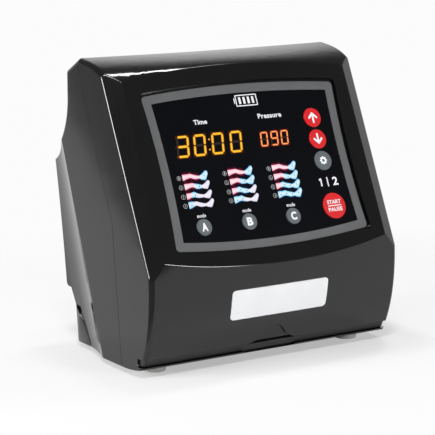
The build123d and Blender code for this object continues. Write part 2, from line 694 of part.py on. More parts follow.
# ---------------------------------------------------------------- main board
board_top = main_board_z + board_thickness
main_board = block(
    (board_x - board_w / 2, board_y - board_d / 2, main_board_z),
    (board_x + board_w / 2, board_y + board_d / 2, board_top),
)
for x, y in board_posts:
    main_board -= post(x, y, 0, reach, screw_radius + fit_gap)
save("main_board", main_board)
save("main_board_screws", joined(
    post(x, y, board_top, board_top + 1.6, screw_head_radius - 0.2) + post(x, y, foot_height + 4, board_top, screw_radius)
    for x, y in board_posts
))
components = [
    block((board_x - 26, board_y - 4, board_top), (board_x - 14, board_y + 8, board_top + 2.0)),
    block((board_x - 9, board_y - 12, board_top), (board_x + 5, board_y - 4, board_top + 1.6)),
    block((board_x + 8, board_y + 4, board_top), (board_x + 17, board_y + 12, board_top + 6)),
    post(board_x - 20, board_y - 10.5, board_top, board_top + 11, 4.0),
    post(board_x - 6, board_y + 11, board_top, board_top + 8, 2.5),
]
save("board_components", joined(components))
buzzer_x, buzzer_y = board_x + 24, board_y - 4
save("buzzer", post(buzzer_x, buzzer_y, board_top, board_top + 8, 6) - post(buzzer_x, buzzer_y, board_top + 7, board_top + 9, 1.2))
sensor_x, sensor_y = board_x + 2, board_y + 6
sensor_top = board_top + 5
sensor = block((sensor_x - 5, sensor_y - 4, board_top), (sensor_x + 5, sensor_y + 4, sensor_top))
sensor += post(sensor_x, sensor_y, sensor_top, sensor_top + barb_length, sensor_barb_radius)
save("pressure_sensor", sensor)

ribbon_p, ribbon_width, ribbon_thickness = 20.0, 16.0, 0.5
ribbon_top = panel_plane.from_local_coords(Vector(0, -board_half[1] + 8, -board_back))
ribbon_out = panel_plane.from_local_coords(Vector(0, -board_half[1] + 6, -board_back - 5))
ribbon_y = board_y + board_d / 2 - 3
ribbon_path = Spline(
    (ribbon_top.Y, ribbon_top.Z), (ribbon_out.Y + 4, ribbon_out.Z - 14), (ribbon_y, board_top + 14), (ribbon_y, board_top),
    tangents=((cos(tilt), -sin(tilt)), (0, -1)),
)
ribbon_edge = Plane.YZ * ribbon_path
ribbon_section = Plane(origin=(0, ribbon_top.Y, ribbon_top.Z), x_dir=(1, 0, 0), z_dir=(0, cos(tilt), -sin(tilt)))
display_ribbon = sweep(ribbon_section * Rectangle(ribbon_width, ribbon_thickness), path=ribbon_edge)
save("display_ribbon", Pos(ribbon_p, 0, 0) * display_ribbon)

# ---------------------------------------------------------------- battery
holder_low = (battery_x - cell_length / 2 - 4, battery_y - holder_half, deck)
holder_high = (battery_x + cell_length / 2 + 4, battery_y + holder_half, deck + holder_height)
holder_cavity = (
    (holder_low[0] + holder_wall, holder_low[1] + holder_wall, deck + holder_wall),
    (holder_high[0] - holder_wall, holder_high[1] - holder_wall, deck + 30),
)
battery_holder = block(holder_low, holder_high) - block(*holder_cavity)
save("battery_holder", battery_holder)
cell_z = deck + holder_wall + cell_radius
cells = []
for row, turn in ((-1, 90), (1, -90)):
    at = Pos(battery_x, battery_y + row * (cell_radius + cell_gap / 2), cell_z) * Rot(0, turn, 0)
    cells.append(at * Cylinder(cell_radius, cell_length) + at * Pos(0, 0, cell_length / 2 + 0.5) * Cylinder(3, 1.0))
save("battery_cells", joined(cells))
contacts = [
    block((holder_cavity[0][0], battery_y + row * cell_radius - 5, deck + 5), (holder_cavity[0][0] + 0.5, battery_y + row * cell_radius + 5, deck + 14))
    for row in (-1, 1)
] + [
    block((holder_cavity[1][0] - 0.5, battery_y - cell_radius - 5, deck + 5), (holder_cavity[1][0], battery_y + cell_radius + 5, deck + 14))
]
save("battery_contacts", joined(contacts))

# ---------------------------------------------------------------- pump
def along_x(start, end, radius, y=pump_y, z=pump_z):
    return Pos((start + end) / 2, y, z) * Rot(0, 90, 0) * Cylinder(radius, end - start)


bracket_low_y, bracket_high_y = mounts_at[0][1] - 5.0, mounts_at[1][1] + 5.5
bracket_left, bracket_right = mounts_at[0][0] - 7, mounts_at[2][0] + 7
ear_right = motor_right + bracket_thickness
pump_bracket = block(
    (bracket_left, bracket_low_y, bracket_top - bracket_thickness), (bracket_right, bracket_high_y, bracket_top)
)
pump_bracket += block((motor_right, bracket_low_y + 3, bracket_top - 1), (ear_right, bracket_high_y - 3, pump_z + 17))
for x, y in mounts_at:
    pump_bracket -= post(x, y, 0, reach / 10, screw_radius + fit_gap)
pump_bracket -= along_x(motor_right - 1, ear_right + 1, shaft_radius + 1.5)
save("pump_bracket", pump_bracket)
mount_low = mount_pad_top
save("pump_mounts", joined(
    post(x, y, mount_low, bracket_top - bracket_thickness, mount_radius) - post(x, y, mount_low - 1, bracket_top, screw_radius + fit_gap)
    for x, y in mounts_at
))
save("pump_screws", joined(
    post(x, y, bracket_top, bracket_top + screw_head_height, screw_head_radius) + post(x, y, foot_height + 2, bracket_top, screw_radius)
    for x, y in mounts_at
))
motor = along_x(motor_left, motor_right, motor_radius)
motor += along_x(motor_left - 2, motor_left, 5)
motor -= along_x(motor_right - 12, motor_right + 1, shaft_radius + thread_gap)
save("pump_motor", motor)

case_left, case_right = ear_right, ear_right + case_width
crankcase = block((case_left, pump_y - case_half_depth, case_low), (case_right, pump_y + case_half_depth, case_high))
cavity_right = case_right - 4
crankcase -= along_x(case_left + 4, cavity_right, 13)
crankcase -= along_x(case_left - 1, case_left + 5, shaft_radius + thread_gap)
crankcase -= along_x(cavity_right - 1, cavity_right + 2.5, shaft_radius + thread_gap)
case_mid = (case_left + case_right) / 2
crankcase -= post(case_mid, pump_y, pump_z, case_high + 1, 9)
save("crankcase", crankcase)
rotor = along_x(motor_right - 11, cavity_right + 2, shaft_radius)
rotor += along_x(case_mid - 3, case_mid + 3, crank_radius, pump_y, pump_z - crank_throw)
save("pump_rotor", rotor)
ring_bore = crank_radius + crank_throw + slide_gap
rod = along_x(case_mid - 2.5, case_mid + 2.5, ring_bore + 2.2) + post(case_mid, pump_y, pump_z + ring_bore + 1, case_high, 2.5)
rod -= along_x(case_mid - 4, case_mid + 4, ring_bore)
save("connecting_rod", rod)
diaphragm = block(
    (case_left, pump_y - case_half_depth, case_high), (case_right, pump_y + case_half_depth, case_high + diaphragm_thickness)
)
save("diaphragm", diaphragm)
head_low = case_high + diaphragm_thickness
head_high = head_low + head_height
pump_head = block((case_left, pump_y - case_half_depth, head_low), (case_right, pump_y + case_half_depth, head_high))
pump_head -= post(case_mid, pump_y, head_low - 1, head_low + 3, 9)
nozzle_z = head_low + head_height / 2
pump_head += along_x(case_right, case_right + barb_length, barb_radius, pump_y, nozzle_z)
pump_head -= along_x(case_right - 6, case_right + barb_length + 1, hose_bore, pump_y, nozzle_z)
pump_head -= post(case_right - 6, pump_y, head_low - 1, nozzle_z, hose_bore)
save("pump_head", pump_head)

# ---------------------------------------------------------------- manifold and valves
manifold_low, manifold_high = manifold_z - manifold_height / 2, manifold_z + manifold_height / 2
manifold_front = manifold_y - manifold_depth / 2
outlet_columns = [side * outlet_x + (i - 1.5) * outlet_pitch for side in (-1, 1) for i in range(4)]
feed_x = 46.0
manifold = block((-manifold_half, manifold_front, manifold_low), (manifold_half, manifold_boss_y, manifold_high))
for x in outlet_columns:
    manifold += post(x, manifold_y, manifold_high, manifold_high + barb_length, barb_radius)
    manifold -= post(x, manifold_y, manifold_z, manifold_high + barb_length + 1, hose_bore)
manifold += post(feed_x, manifold_y, manifold_low - barb_length, manifold_low, barb_radius)
manifold -= post(feed_x, manifold_y, manifold_low - barb_length - 1, manifold_z, hose_bore)
sensor_port_x = 26.0
port = Pos(sensor_port_x, manifold_front - barb_length / 2, manifold_z) * Rot(90, 0, 0)
manifold += port * Cylinder(sensor_barb_radius, barb_length)
for side in (1, -1):
    manifold -= Pos(side * manifold_screw_x, manifold_y, manifold_z) * Rot(90, 0, 0) * Cylinder(
        screw_radius + fit_gap, manifold_depth + 2
    )
save("manifold", manifold)
save("manifold_screws", joined(
    case_screw(side, manifold_front, manifold_boss_y + 7, manifold_z, manifold_screw_x) for side in (1, -1)
))
for index, x in enumerate(valve_at, start=1):
    valve = block(
        (x - valve_width / 2, manifold_front - valve_depth + 5, manifold_z - valve_height / 2),
        (x + valve_width / 2, manifold_front - 2, manifold_z + valve_height / 2),
    )
    valve += block(
        (x - valve_width / 2 + 2, manifold_front - 2, manifold_low + 1), (x + valve_width / 2 - 2, manifold_front, manifold_high - 1)
    )
    valve += Pos(x, manifold_front - valve_depth + 2.5, manifold_z) * Rot(90, 0, 0) * Cylinder(4, 5)
    save(f"valve_{index}", valve)

# ---------------------------------------------------------------- back wall fittings
for name, side in (("outlet_socket_left", 1), ("outlet_socket_right", -1)):
    x = side * outlet_x
    socket = in_wall(x, outlet_z, -outlet_depth, 0, RectangleRounded(outlet_width, outlet_height, 3))
    socket += in_wall(
        x, outlet_z, -wall - seat_gap - socket_flange_thickness, -wall - seat_gap,
        RectangleRounded(outlet_width + 2 * socket_flange, outlet_height + 2 * socket_flange, 4),
    )
    for i in range(4):
        bore_at = Pos((i - 1.5) * outlet_pitch, 0)
        socket += in_wall(x, outlet_z, -outlet_depth - barb_length, -outlet_depth, bore_at * Circle(barb_radius))
        socket -= in_wall(x, outlet_z, -outlet_length, 1, bore_at * Circle(outlet_radius))
        socket -= in_wall(x, outlet_z, -outlet_depth - barb_length - 1, -outlet_length, bore_at * Circle(hose_bore))
    save(name, socket)

air_tubes = []
barb_root = wall_frame(0, outlet_z).from_local_coords(Vector(0, 0, -outlet_depth - 0.3))
inward = wall_out * -1
for x in outlet_columns:
    air_tubes.append(hose(
        (x, barb_root.Y, barb_root.Z), (0, inward.Y, inward.Z),
        (x, manifold_y, manifold_high + 0.3), (0, 0, -1), hose_radius, barb_radius + thread_gap, barb_length,
    ))
save("air_tubes", joined(air_tubes))
save("feed_tube", hose(
    (case_right + 0.3, pump_y, nozzle_z), (1, 0, 0), (feed_x, manifold_y, manifold_low - 0.3), (0, 0, 1),
    hose_radius, barb_radius + thread_gap, barb_length,
))
save("sensor_tube", hose(
    (sensor_x, sensor_y, sensor_top + 0.3), (0, 0, 1), (sensor_port_x, manifold_front - 0.3, manifold_z), (0, 1, 0),
    sensor_hose_radius, sensor_barb_radius + thread_gap, barb_length,
))

jack = in_wall(jack_x, back_row_z, -wall - 1, 0, Circle(jack_face_radius))
jack += in_wall(jack_x, back_row_z, -wall - 11, -wall - seat_gap, Rectangle(14, 14))
jack -= in_wall(jack_x, back_row_z, -jack_bore_length, 1, Circle(jack_bore_radius))
jack -= in_wall(jack_x, back_row_z, -jack_bore_length - 3, 1, Circle(jack_pin_radius + thread_gap))
save("dc_jack", jack)
save("jack_pin", in_wall(jack_x, back_row_z, -jack_bore_length - 2.5, -jack_bore_length + 5.0, Circle(jack_pin_radius)))

switch_body = in_wall(switch_x, back_row_z, -switch_body_depth, 0, Rectangle(switch_body_width, switch_body_height))
switch_body += in_wall(switch_x, back_row_z, 0, 1.2, Rectangle(switch_body_width + 2.4, switch_body_height + 2.4))
switch_body -= in_wall(switch_x, back_row_z, -9.5, 2, Rectangle(switch_body_width - 2.6, switch_body_height - 2.6))
pivot_depth = 3.0
pivot = wall_frame(switch_x, back_row_z).from_local_coords(Vector(0, 0, -pivot_depth))
trunnion = Pos(pivot.X, pivot.Y, pivot.Z) * Rot(0, 90, 0)
switch_body -= trunnion * Cylinder(0.9 + thread_gap, switch_body_width - 1.2)
save("switch_body", switch_body)
rocker_points = [(-7.3, 2.0), (-6.6, 2.3), (0, 1.2), (6.6, 2.3), (7.3, 2.0), (6.0, -4), (2, -7.3), (-2, -7.3), (-6, -4)]
side_view = Plane(origin=wall_frame(switch_x, back_row_z).origin, x_dir=wall_up, z_dir=(1, 0, 0))
if side_view.y_dir.dot(wall_out) < 0:
    side_view = Plane(origin=side_view.origin, x_dir=wall_up, z_dir=(-1, 0, 0))
rocker = extrude(side_view * make_face(Polyline(*rocker_points, close=True)), switch_body_width / 2 - 1.5, both=True)
rocker += trunnion * Cylinder(0.9, switch_body_width - 1.6)
save("power_rocker", rocker.rotate(Axis((pivot.X, pivot.Y, pivot.Z), (1, 0, 0)), rocker_swing))

vent = in_wall(0, back_row_z, -wall - 1, 0, RectangleRounded(vent_width, vent_height, 3))
vent += in_wall(0, back_row_z, -wall - 1.5, -wall - seat_gap, RectangleRounded(vent_width + 6, vent_height + 6, 4))
slot_pitch = vent_width / vent_slots
for i in range(vent_slots):
    at = Pos((i - (vent_slots - 1) / 2) * slot_pitch, 0)
    vent -= in_wall(0, back_row_z, -wall - 3, 1, at * SlotCenterToCenter(vent_height - 6, 2.4, rotation=90))
save("vent_grille", vent)
save("inlet_filter", in_wall(0, back_row_z, -wall - 5.5, -wall - 1.5, RectangleRounded(vent_width, vent_height, 3)))
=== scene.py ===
"""Finishes, printed panel and studio of a table-top compression therapy pump.

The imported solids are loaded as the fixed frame. The moulded shells and the other pieces that
show are smoothed copies that stand for their nodes, the pieces inside the case keep their
nodes, and the panel's print, lit digits and key symbols are thin slabs worked out with numpy.
"""

from __future__ import annotations

import logging
from dataclasses import dataclass
from enum import Enum
from math import cos, radians, sin
from typing import Any

import bmesh
import bpy
import numpy as np
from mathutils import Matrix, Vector

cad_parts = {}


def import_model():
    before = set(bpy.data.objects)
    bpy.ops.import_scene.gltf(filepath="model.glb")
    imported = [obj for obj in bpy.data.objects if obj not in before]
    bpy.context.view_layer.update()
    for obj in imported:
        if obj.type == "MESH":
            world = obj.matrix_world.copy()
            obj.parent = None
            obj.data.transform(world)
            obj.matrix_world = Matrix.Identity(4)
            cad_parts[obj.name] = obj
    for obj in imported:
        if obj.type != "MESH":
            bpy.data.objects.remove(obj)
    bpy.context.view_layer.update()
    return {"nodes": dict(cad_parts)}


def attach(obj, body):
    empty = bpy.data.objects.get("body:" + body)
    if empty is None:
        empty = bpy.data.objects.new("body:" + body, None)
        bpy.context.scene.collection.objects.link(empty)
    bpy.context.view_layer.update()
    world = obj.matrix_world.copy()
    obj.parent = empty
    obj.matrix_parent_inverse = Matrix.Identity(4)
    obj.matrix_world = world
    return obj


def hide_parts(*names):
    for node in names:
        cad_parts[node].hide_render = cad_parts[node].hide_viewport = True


log = logging.getLogger("therapy_pump")
MM = 0.001
NOISE_LOW, NOISE_HIGH = 0.35, 0.65  # the range that most of a fractal noise keeps to
WEAR_FINER = 3.0  # scale of the wear in a finish's roughness, over that of its colour
TINT_CLOUD = 0.06  # how much of a finish's second colour clouds its painted tint
GLOW_DARKENS = 0.9  # how much of the base colour a full glow takes away
RAISED_MM = 0.03  # how far a printed or lit shape stands above its level
LEVEL_MM = 0.02  # the step from the glow's level to that of the lit shapes
GLOW_MM = 0.008  # how far a glow stands above its level
Colour = tuple[float, float, float]
Point = tuple[float, float, float]
Spot = tuple[float, float]
Ramp = tuple[float, float, float, float]


def srgb(shown_255: Colour) -> Colour:
    """Turns 0-255 display values into linear light, by the usual 2.4 power with its straight foot.

    Args:
        shown_255: Display values of red, green and blue.

    Returns:
        The three linear values.
    """
    shown = np.array(shown_255, float) / 255.0
    light = np.where(shown <= 0.04045, shown / 12.92, ((shown + 0.055) / 1.055) ** 2.4)
    return (float(light[0]), float(light[1]), float(light[2]))


class Signal:
    """One output socket of a material's nodes, with arithmetic that adds Math nodes."""

    def __init__(self, graph: Graph, socket: bpy.types.NodeSocket) -> None:
        """Keeps the graph that the socket is in, and the socket."""
        self.graph = graph
        self.socket = socket

    def _with(self, operation: str, first: Any, second: Any) -> Signal:
        """Adds one Math node.

        Args:
            operation: The Math node's operation.
            first: Its first value, a Signal or a number.
            second: Its second value, a Signal or a number.

        Returns:
            The node's result.
        """
        made = self.graph.node("ShaderNodeMath", {"operation": operation}, {0: first, 1: second})
        return Signal(self.graph, made.outputs[0])

    def __add__(self, other: Any) -> Signal:
        """Adds a value."""
        return self._with("ADD", self, other)

    def __radd__(self, other: Any) -> Signal:
        """Adds to a value."""
        return self._with("ADD", other, self)

    def __sub__(self, other: Any) -> Signal:
        """Takes a value away."""
        return self._with("SUBTRACT", self, other)

    def __rsub__(self, other: Any) -> Signal:
        """Takes this away from a value."""
        return self._with("SUBTRACT", other, self)

    def __mul__(self, other: Any) -> Signal:
        """Multiplies by a value."""
        return self._with("MULTIPLY", self, other)

    def __rmul__(self, other: Any) -> Signal:
        """Multiplies a value."""
        return self._with("MULTIPLY", other, self)

    def __pow__(self, other: Any) -> Signal:
        """Raises to a power."""
        return self._with("POWER", self, other)

    def at_least(self, other: Any) -> Signal:
        """The larger of this and a value."""
        return self._with("MAXIMUM", self, other)

    def at_most(self, other: Any) -> Signal:
        """The smaller of this and a value."""
        return self._with("MINIMUM", self, other)

    def ramp(self, low: float, high: float, start: float, end: float) -> Signal:
        """Maps low..high to start..end in a straight line, held at its ends.

        Args:
            low: Value that gives start.
            high: Value that gives end.
            start: Result at low.
            end: Result at high.

        Returns:
            The mapped value.
        """
        sockets = {"Value": self, "From Min": low, "From Max": high, "To Min": start, "To Max": end}
        made = self.graph.node("ShaderNodeMapRange", {"clamp": True}, sockets)
        return Signal(self.graph, made.outputs[0])


class Graph:
    """The nodes of one material or of the world."""

    def __init__(self, tree: bpy.types.NodeTree) -> None:
        """Empties the tree."""
        self.tree = tree
        tree.nodes.clear()

    def feed(self, target: bpy.types.NodeSocket, value: Any) -> None:
        """Links a Signal or a socket to an input, or sets the input to a value.

        Args:
            target: The input.
            value: What it gets; the three values of a colour are made up to four.
        """
        if isinstance(value, Signal):
            value = value.socket
        if isinstance(value, bpy.types.NodeSocket):
            self.tree.links.new(value, target)
        elif isinstance(value, tuple) and target.type == "RGBA":
            target.default_value = (*value, 1.0)
        else:
            target.default_value = value

    def node(
        self,
        kind: str,
        settings: dict[str, Any] | None = None,
        sockets: dict[Any, Any] | None = None,
    ) -> bpy.types.Node:
        """Adds one node.

        Args:
            kind: The node's Blender type.
            settings: Its properties, set before its sockets.
            sockets: Value, Signal or socket for each input, by name or place.

        Returns:
            The node.
        """
        made = self.tree.nodes.new(kind)
        for name, value in (settings or {}).items():
            setattr(made, name, value)
        for key, value in (sockets or {}).items():
            self.feed(made.inputs[key], value)
        return made

    def place(self, kind: str = "Object") -> bpy.types.NodeSocket:
        """The point on the object in metres, or with Generated the direction in the world."""
        return self.node("ShaderNodeTexCoord").outputs[kind]

    def axis(self, name: str) -> Signal:
        """One coordinate of the point on the object: X, Y or Z."""
        parts = self.node("ShaderNodeSeparateXYZ", None, {0: self.place()})
        return Signal(self, parts.outputs[name])

    def rays(self) -> tuple[Signal, Signal]:
        """Which kind of ray meets the surface, as two signals of 0 or 1.

        Returns:
            Whether it comes straight from the camera, and whether by a reflection or through
            something clear.
        """
        path = self.node("ShaderNodeLightPath")
        seen, glossy, through = (
            Signal(self, path.outputs[f"Is {kind} Ray"])
            for kind in ("Camera", "Glossy", "Transmission")
        )
        return seen, glossy + through

    def noise(
        self, per_metre: float, detail: float = 4.0, stretch: Point = (1.0, 1.0, 1.0)
    ) -> Signal:
        """Fractal noise about 0.5 on the object's own coordinates.

        Args:
            per_metre: Blotches in a metre.
            detail: Octaves.
            stretch: Scale along each axis, to draw the pattern out.

        Returns:
            The noise value.
        """
        spot = self.node("ShaderNodeMapping", None, {"Vector": self.place(), "Scale": stretch})
        sockets = {"Vector": spot.outputs[0], "Scale": per_metre, "Detail": detail}
        return Signal(self, self.node("ShaderNodeTexNoise", None, sockets).outputs[0])

    def mix(self, share: Any, first: Any, second: Any) -> bpy.types.NodeSocket:
        """Blends two colours.

        Args:
            share: How much of the second, 0 to 1.
            first: Colour or socket at 0.
            second: Colour or socket at 1.

        Returns:
            The mixed colour.
        """
        settings, sockets = {"data_type": "RGBA"}, {0: share, 6: first, 7: second}
        return self.node("ShaderNodeMix", settings, sockets).outputs[2]

    def blend(self, share: Signal, first: bpy.types.Node, second: bpy.types.Node) -> bpy.types.Node:
        """Blends two shaders.

        Args:
            share: How much of the second, 0 to 1.
            first: Shader at 0.
            second: Shader at 1.

        Returns:
            The node of the mixed shader.
        """
        sockets = {0: share, 1: first.outputs[0], 2: second.outputs[0]}
        return self.node("ShaderNodeMixShader", None, sockets)

    def bump(self, height: Signal, depth_mm: float) -> bpy.types.NodeSocket:
        """Turns a 0-1 height into a normal.

        Args:
            height: The height signal.
            depth_mm: What a height of 1 stands for.

        Returns:
            The normal socket.
        """
        made = self.node("ShaderNodeBump", None, {"Height": height, "Distance": depth_mm * MM})
        return made.outputs[0]


@dataclass(frozen=True)
class Finish:
    """One finish: a base colour that varies a little, a roughness that varies, and a relief.

    The colour runs from colour to second by a broad noise, the roughness by a finer one, and
    the relief is noise of its own scale, as moulds, coats and handling leave it. Colours are
    0-255 display values, and blotch and grain are the blotches of the noises in a metre. A
    finish with a tint takes its colour from the piece's own painted attribute of that name.
    """

    name: str
    colour: Colour
    second: Colour
    rough: float
    rough_range: float
    blotch: float
    grain: float
    relief_mm: float
    stretch: Point = (1.0, 1.0, 1.0)
    metal: float = 0.0
    coat: float = 0.0
    coat_rough: float = 0.1
    specular: float = 0.5
    glow_strength: float = 0.0
    tint: str = ""

    def material(self) -> bpy.types.Material:
        """The finish as a Blender material, made once.

        Returns:
            The material.
        """
        made = bpy.data.materials.get(self.name)
        if made is None:
            made = bpy.data.materials.new(self.name)
            made.use_nodes = True
            self.dress(Graph(made.node_tree))
        return made

    def base(self, graph: Graph) -> bpy.types.NodeSocket:
        """The base colour: a blend by broad noise, or a painted tint under that noise.

        Args:
            graph: The material's nodes.

        Returns:
            The colour socket.
        """
        cloud = graph.noise(self.blotch, 3.0).ramp(NOISE_LOW, NOISE_HIGH, 0.0, 1.0)
        if not self.tint:
            return graph.mix(cloud, srgb(self.colour), srgb(self.second))
        painted = self.painted(graph).outputs["Color"]
        return graph.mix(cloud * TINT_CLOUD, painted, srgb(self.second))

    def painted(self, graph: Graph) -> bpy.types.Node:
        """The node that reads the piece's own painted tint."""
        return graph.node("ShaderNodeAttribute", {"attribute_name": self.tint})

    def dress(self, graph: Graph) -> None:
        """Adds the shader.

        Args:
            graph: The material's nodes.
        """
        fine = graph.noise(self.grain, 5.0, self.stretch)
        wear = graph.noise(self.blotch * WEAR_FINER)
        sockets: dict[Any, Any] = {
            "Base Color": self.base(graph),
            "Roughness": (wear - 0.5) * (2.0 * self.rough_range) + self.rough,
            "Metallic": self.metal,
            "Specular IOR Level": self.specular,
            "Coat Weight": self.coat,
            "Coat Roughness": self.coat_rough,
            "Normal": graph.bump(fine, self.relief_mm),
        }
        if self.glow_strength:
            sockets["Emission Strength"] = self.glow_strength
            sockets["Emission Color"] = sockets["Base Color"]
        if self.tint:
            sockets["Alpha"] = self.painted(graph).outputs["Alpha"]
            sockets["Base Color"] = graph.mix(
                self.glow_strength * GLOW_DARKENS, sockets["Base Color"], (0.0, 0.0, 0.0)
            )
        shader = graph.node("ShaderNodeBsdfPrincipled", None, sockets)
        graph.node("ShaderNodeOutputMaterial", None, {"Surface": shader.outputs[0]})


class Paint(Enum):
    """The finishes of this pump, by the part of it that wears each.

    In order: name, both colours, roughness and its range, blotch, grain and relief.
    """

    CASE = Finish(
        "case_gloss_black", (8, 8, 10), (11, 11, 13), 0.09, 0.03, 40.0, 900.0, 0.0006, specular=0.55
    )
    TRAY = Finish("tray_matt_black", (24, 24, 26), (30, 30, 32), 0.55, 0.08, 60.0, 1800.0, 0.02)
    FITTING = Finish("fitting_black", (20, 20, 22), (26, 26, 28), 0.32, 0.06, 90.0, 2400.0, 0.006)
    FRAME = Finish("frame_satin_grey", (92, 93, 94), (97, 98, 99), 0.45, 0.05, 50.0, 2600.0, 0.003)
    WINDOW = Finish(
        "window_film", (2, 3, 7), (3, 4, 9), 0.2, 0.03, 30.0, 1200.0, 0.0006, specular=0.22
    )
    PLATE = Finish(
        "nameplate_satin", (236, 237, 239), (240, 241, 242),
        0.42, 0.04, 60.0, 5000.0, 0.001, (0.05, 1.0, 1.0),
    )
    RED = Finish("key_red", (216, 0, 6), (224, 1, 9), 0.4, 0.06, 120.0, 4000.0, 0.003, specular=0.0)
    GREY = Finish(
        "key_grey", (92, 101, 105), (98, 107, 111), 0.42, 0.06, 120.0, 4000.0, 0.003, specular=0.2
    )
    GASKET = Finish("foam_grey", (60, 60, 62), (74, 74, 76), 0.9, 0.05, 400.0, 3000.0, 0.08)
    FOOT = Finish("foot_rubber", (214, 214, 210), (224, 224, 221), 0.75, 0.06, 150.0, 2500.0, 0.02)
    HOSE = Finish(
        "hose_clear", (205, 212, 216), (218, 224, 228), 0.18, 0.05, 90.0, 1500.0, 0.004, coat=0.4
    )
    STEEL = Finish(
        "screw_steel", (165, 167, 170), (184, 186, 189), 0.3, 0.08, 300.0, 6000.0, 0.002, metal=1.0
    )
    MOTOR = Finish(
        "motor_steel", (140, 143, 147), (158, 161, 165),
        0.34, 0.08, 120.0, 5000.0, 0.002, (1.0, 0.04, 0.04), metal=1.0,
    )
    BRASS = Finish(
        "pin_brass", (201, 164, 84), (214, 180, 104), 0.28, 0.07, 260.0, 5000.0, 0.002, metal=1.0
    )
    ROD = Finish("rod_acetal", (226, 224, 216), (234, 232, 226), 0.42, 0.05, 120.0, 2500.0, 0.004)
    LIGHTS = Finish(
        "light_guide_white", (216, 218, 222), (228, 230, 233), 0.4, 0.05, 120.0, 2500.0, 0.004
    )
    AMBER = Finish("display_face", (26, 18, 12), (34, 24, 16), 0.35, 0.06, 200.0, 3000.0, 0.004)
    BOARD = Finish(
        "board_green", (14, 74, 44), (20, 92, 54), 0.38, 0.08, 700.0, 2500.0, 0.012, coat=0.3
    )
    PARTS = Finish("component_black", (26, 26, 28), (38, 38, 40), 0.5, 0.08, 350.0, 4000.0, 0.01)
    CELL = Finish(
        "cell_blue", (24, 66, 140), (30, 80, 160), 0.3, 0.06, 90.0, 2500.0, 0.004, coat=0.4
    )
    HOLDER = Finish("holder_black", (28, 28, 30), (36, 36, 38), 0.5, 0.06, 120.0, 2200.0, 0.012)
    VALVE = Finish("valve_blue", (30, 90, 160), (38, 104, 176), 0.42, 0.06, 150.0, 2500.0, 0.006)
    RIBBON = Finish(
        "ribbon_grey", (150, 152, 156), (166, 168, 172),
        0.5, 0.05, 900.0, 3000.0, 0.01, (1.0, 0.05, 0.05),
    )
    MOUNT = Finish("mount_rubber", (34, 34, 34), (44, 44, 43), 0.8, 0.06, 200.0, 2500.0, 0.02)
    # The print's glow strength is painted light: the white ink emits a little so it looks brighter,
    # though it is no lamp.
    GLOWING_PRINT = Finish(
        "printed_white_glowing", (236, 236, 240), (224, 224, 230),
        0.5, 0.05, 300.0, 4000.0, 0.001, glow_strength=0.22, tint="tint",
    )
    LIT = Finish(
        "lit_segments", (0, 0, 0), (0, 0, 0),
        0.4, 0.05, 300.0, 4000.0, 0.001, specular=0.2, glow_strength=1.0, tint="tint",
    )

    def on(self, thing: bpy.types.Object) -> None:
        """Gives a piece this finish in all its slots.

        Args:
            thing: The piece.
        """
        made = self.value.material()
        if thing.material_slots:
            for place in thing.material_slots:
                place.material = made
        else:
            thing.data.materials.append(made)


def stand(name: str, data: bpy.types.ID) -> bpy.types.Object:
    """Adds an object to the scene.

    Args:
        name: Its name.
        data: Its mesh, curve, lamp or camera.

    Returns:
        The object.
    """
    made = bpy.data.objects.new(name, data)
    bpy.context.scene.collection.objects.link(made)
    return made


def grid_faces(rows: int, columns: int, wrap: bool = False) -> np.ndarray:
    """The faces between each four neighbours of a grid of points.

    Point (r, c) has the place r x columns + c. The face at (r, c) joins (r, c), (r + 1, c),
    (r + 1, c + 1) and (r, c + 1), where c + 1 goes round to 0 in a grid that wraps.

    Args:
        rows: Rows of points.
        columns: Points in a row.
        wrap: Whether the last column joins the first.

    Returns:
        The four places of each face.
    """
    place = np.arange(rows * columns).reshape(rows, columns)
    right = np.roll(place, -1, axis=1)
    last = columns if wrap else columns - 1
    corners = [place[:-1, :last], place[1:, :last], right[1:, :last], right[:-1, :last]]
    return np.stack(corners, axis=-1).reshape(-1, 4)


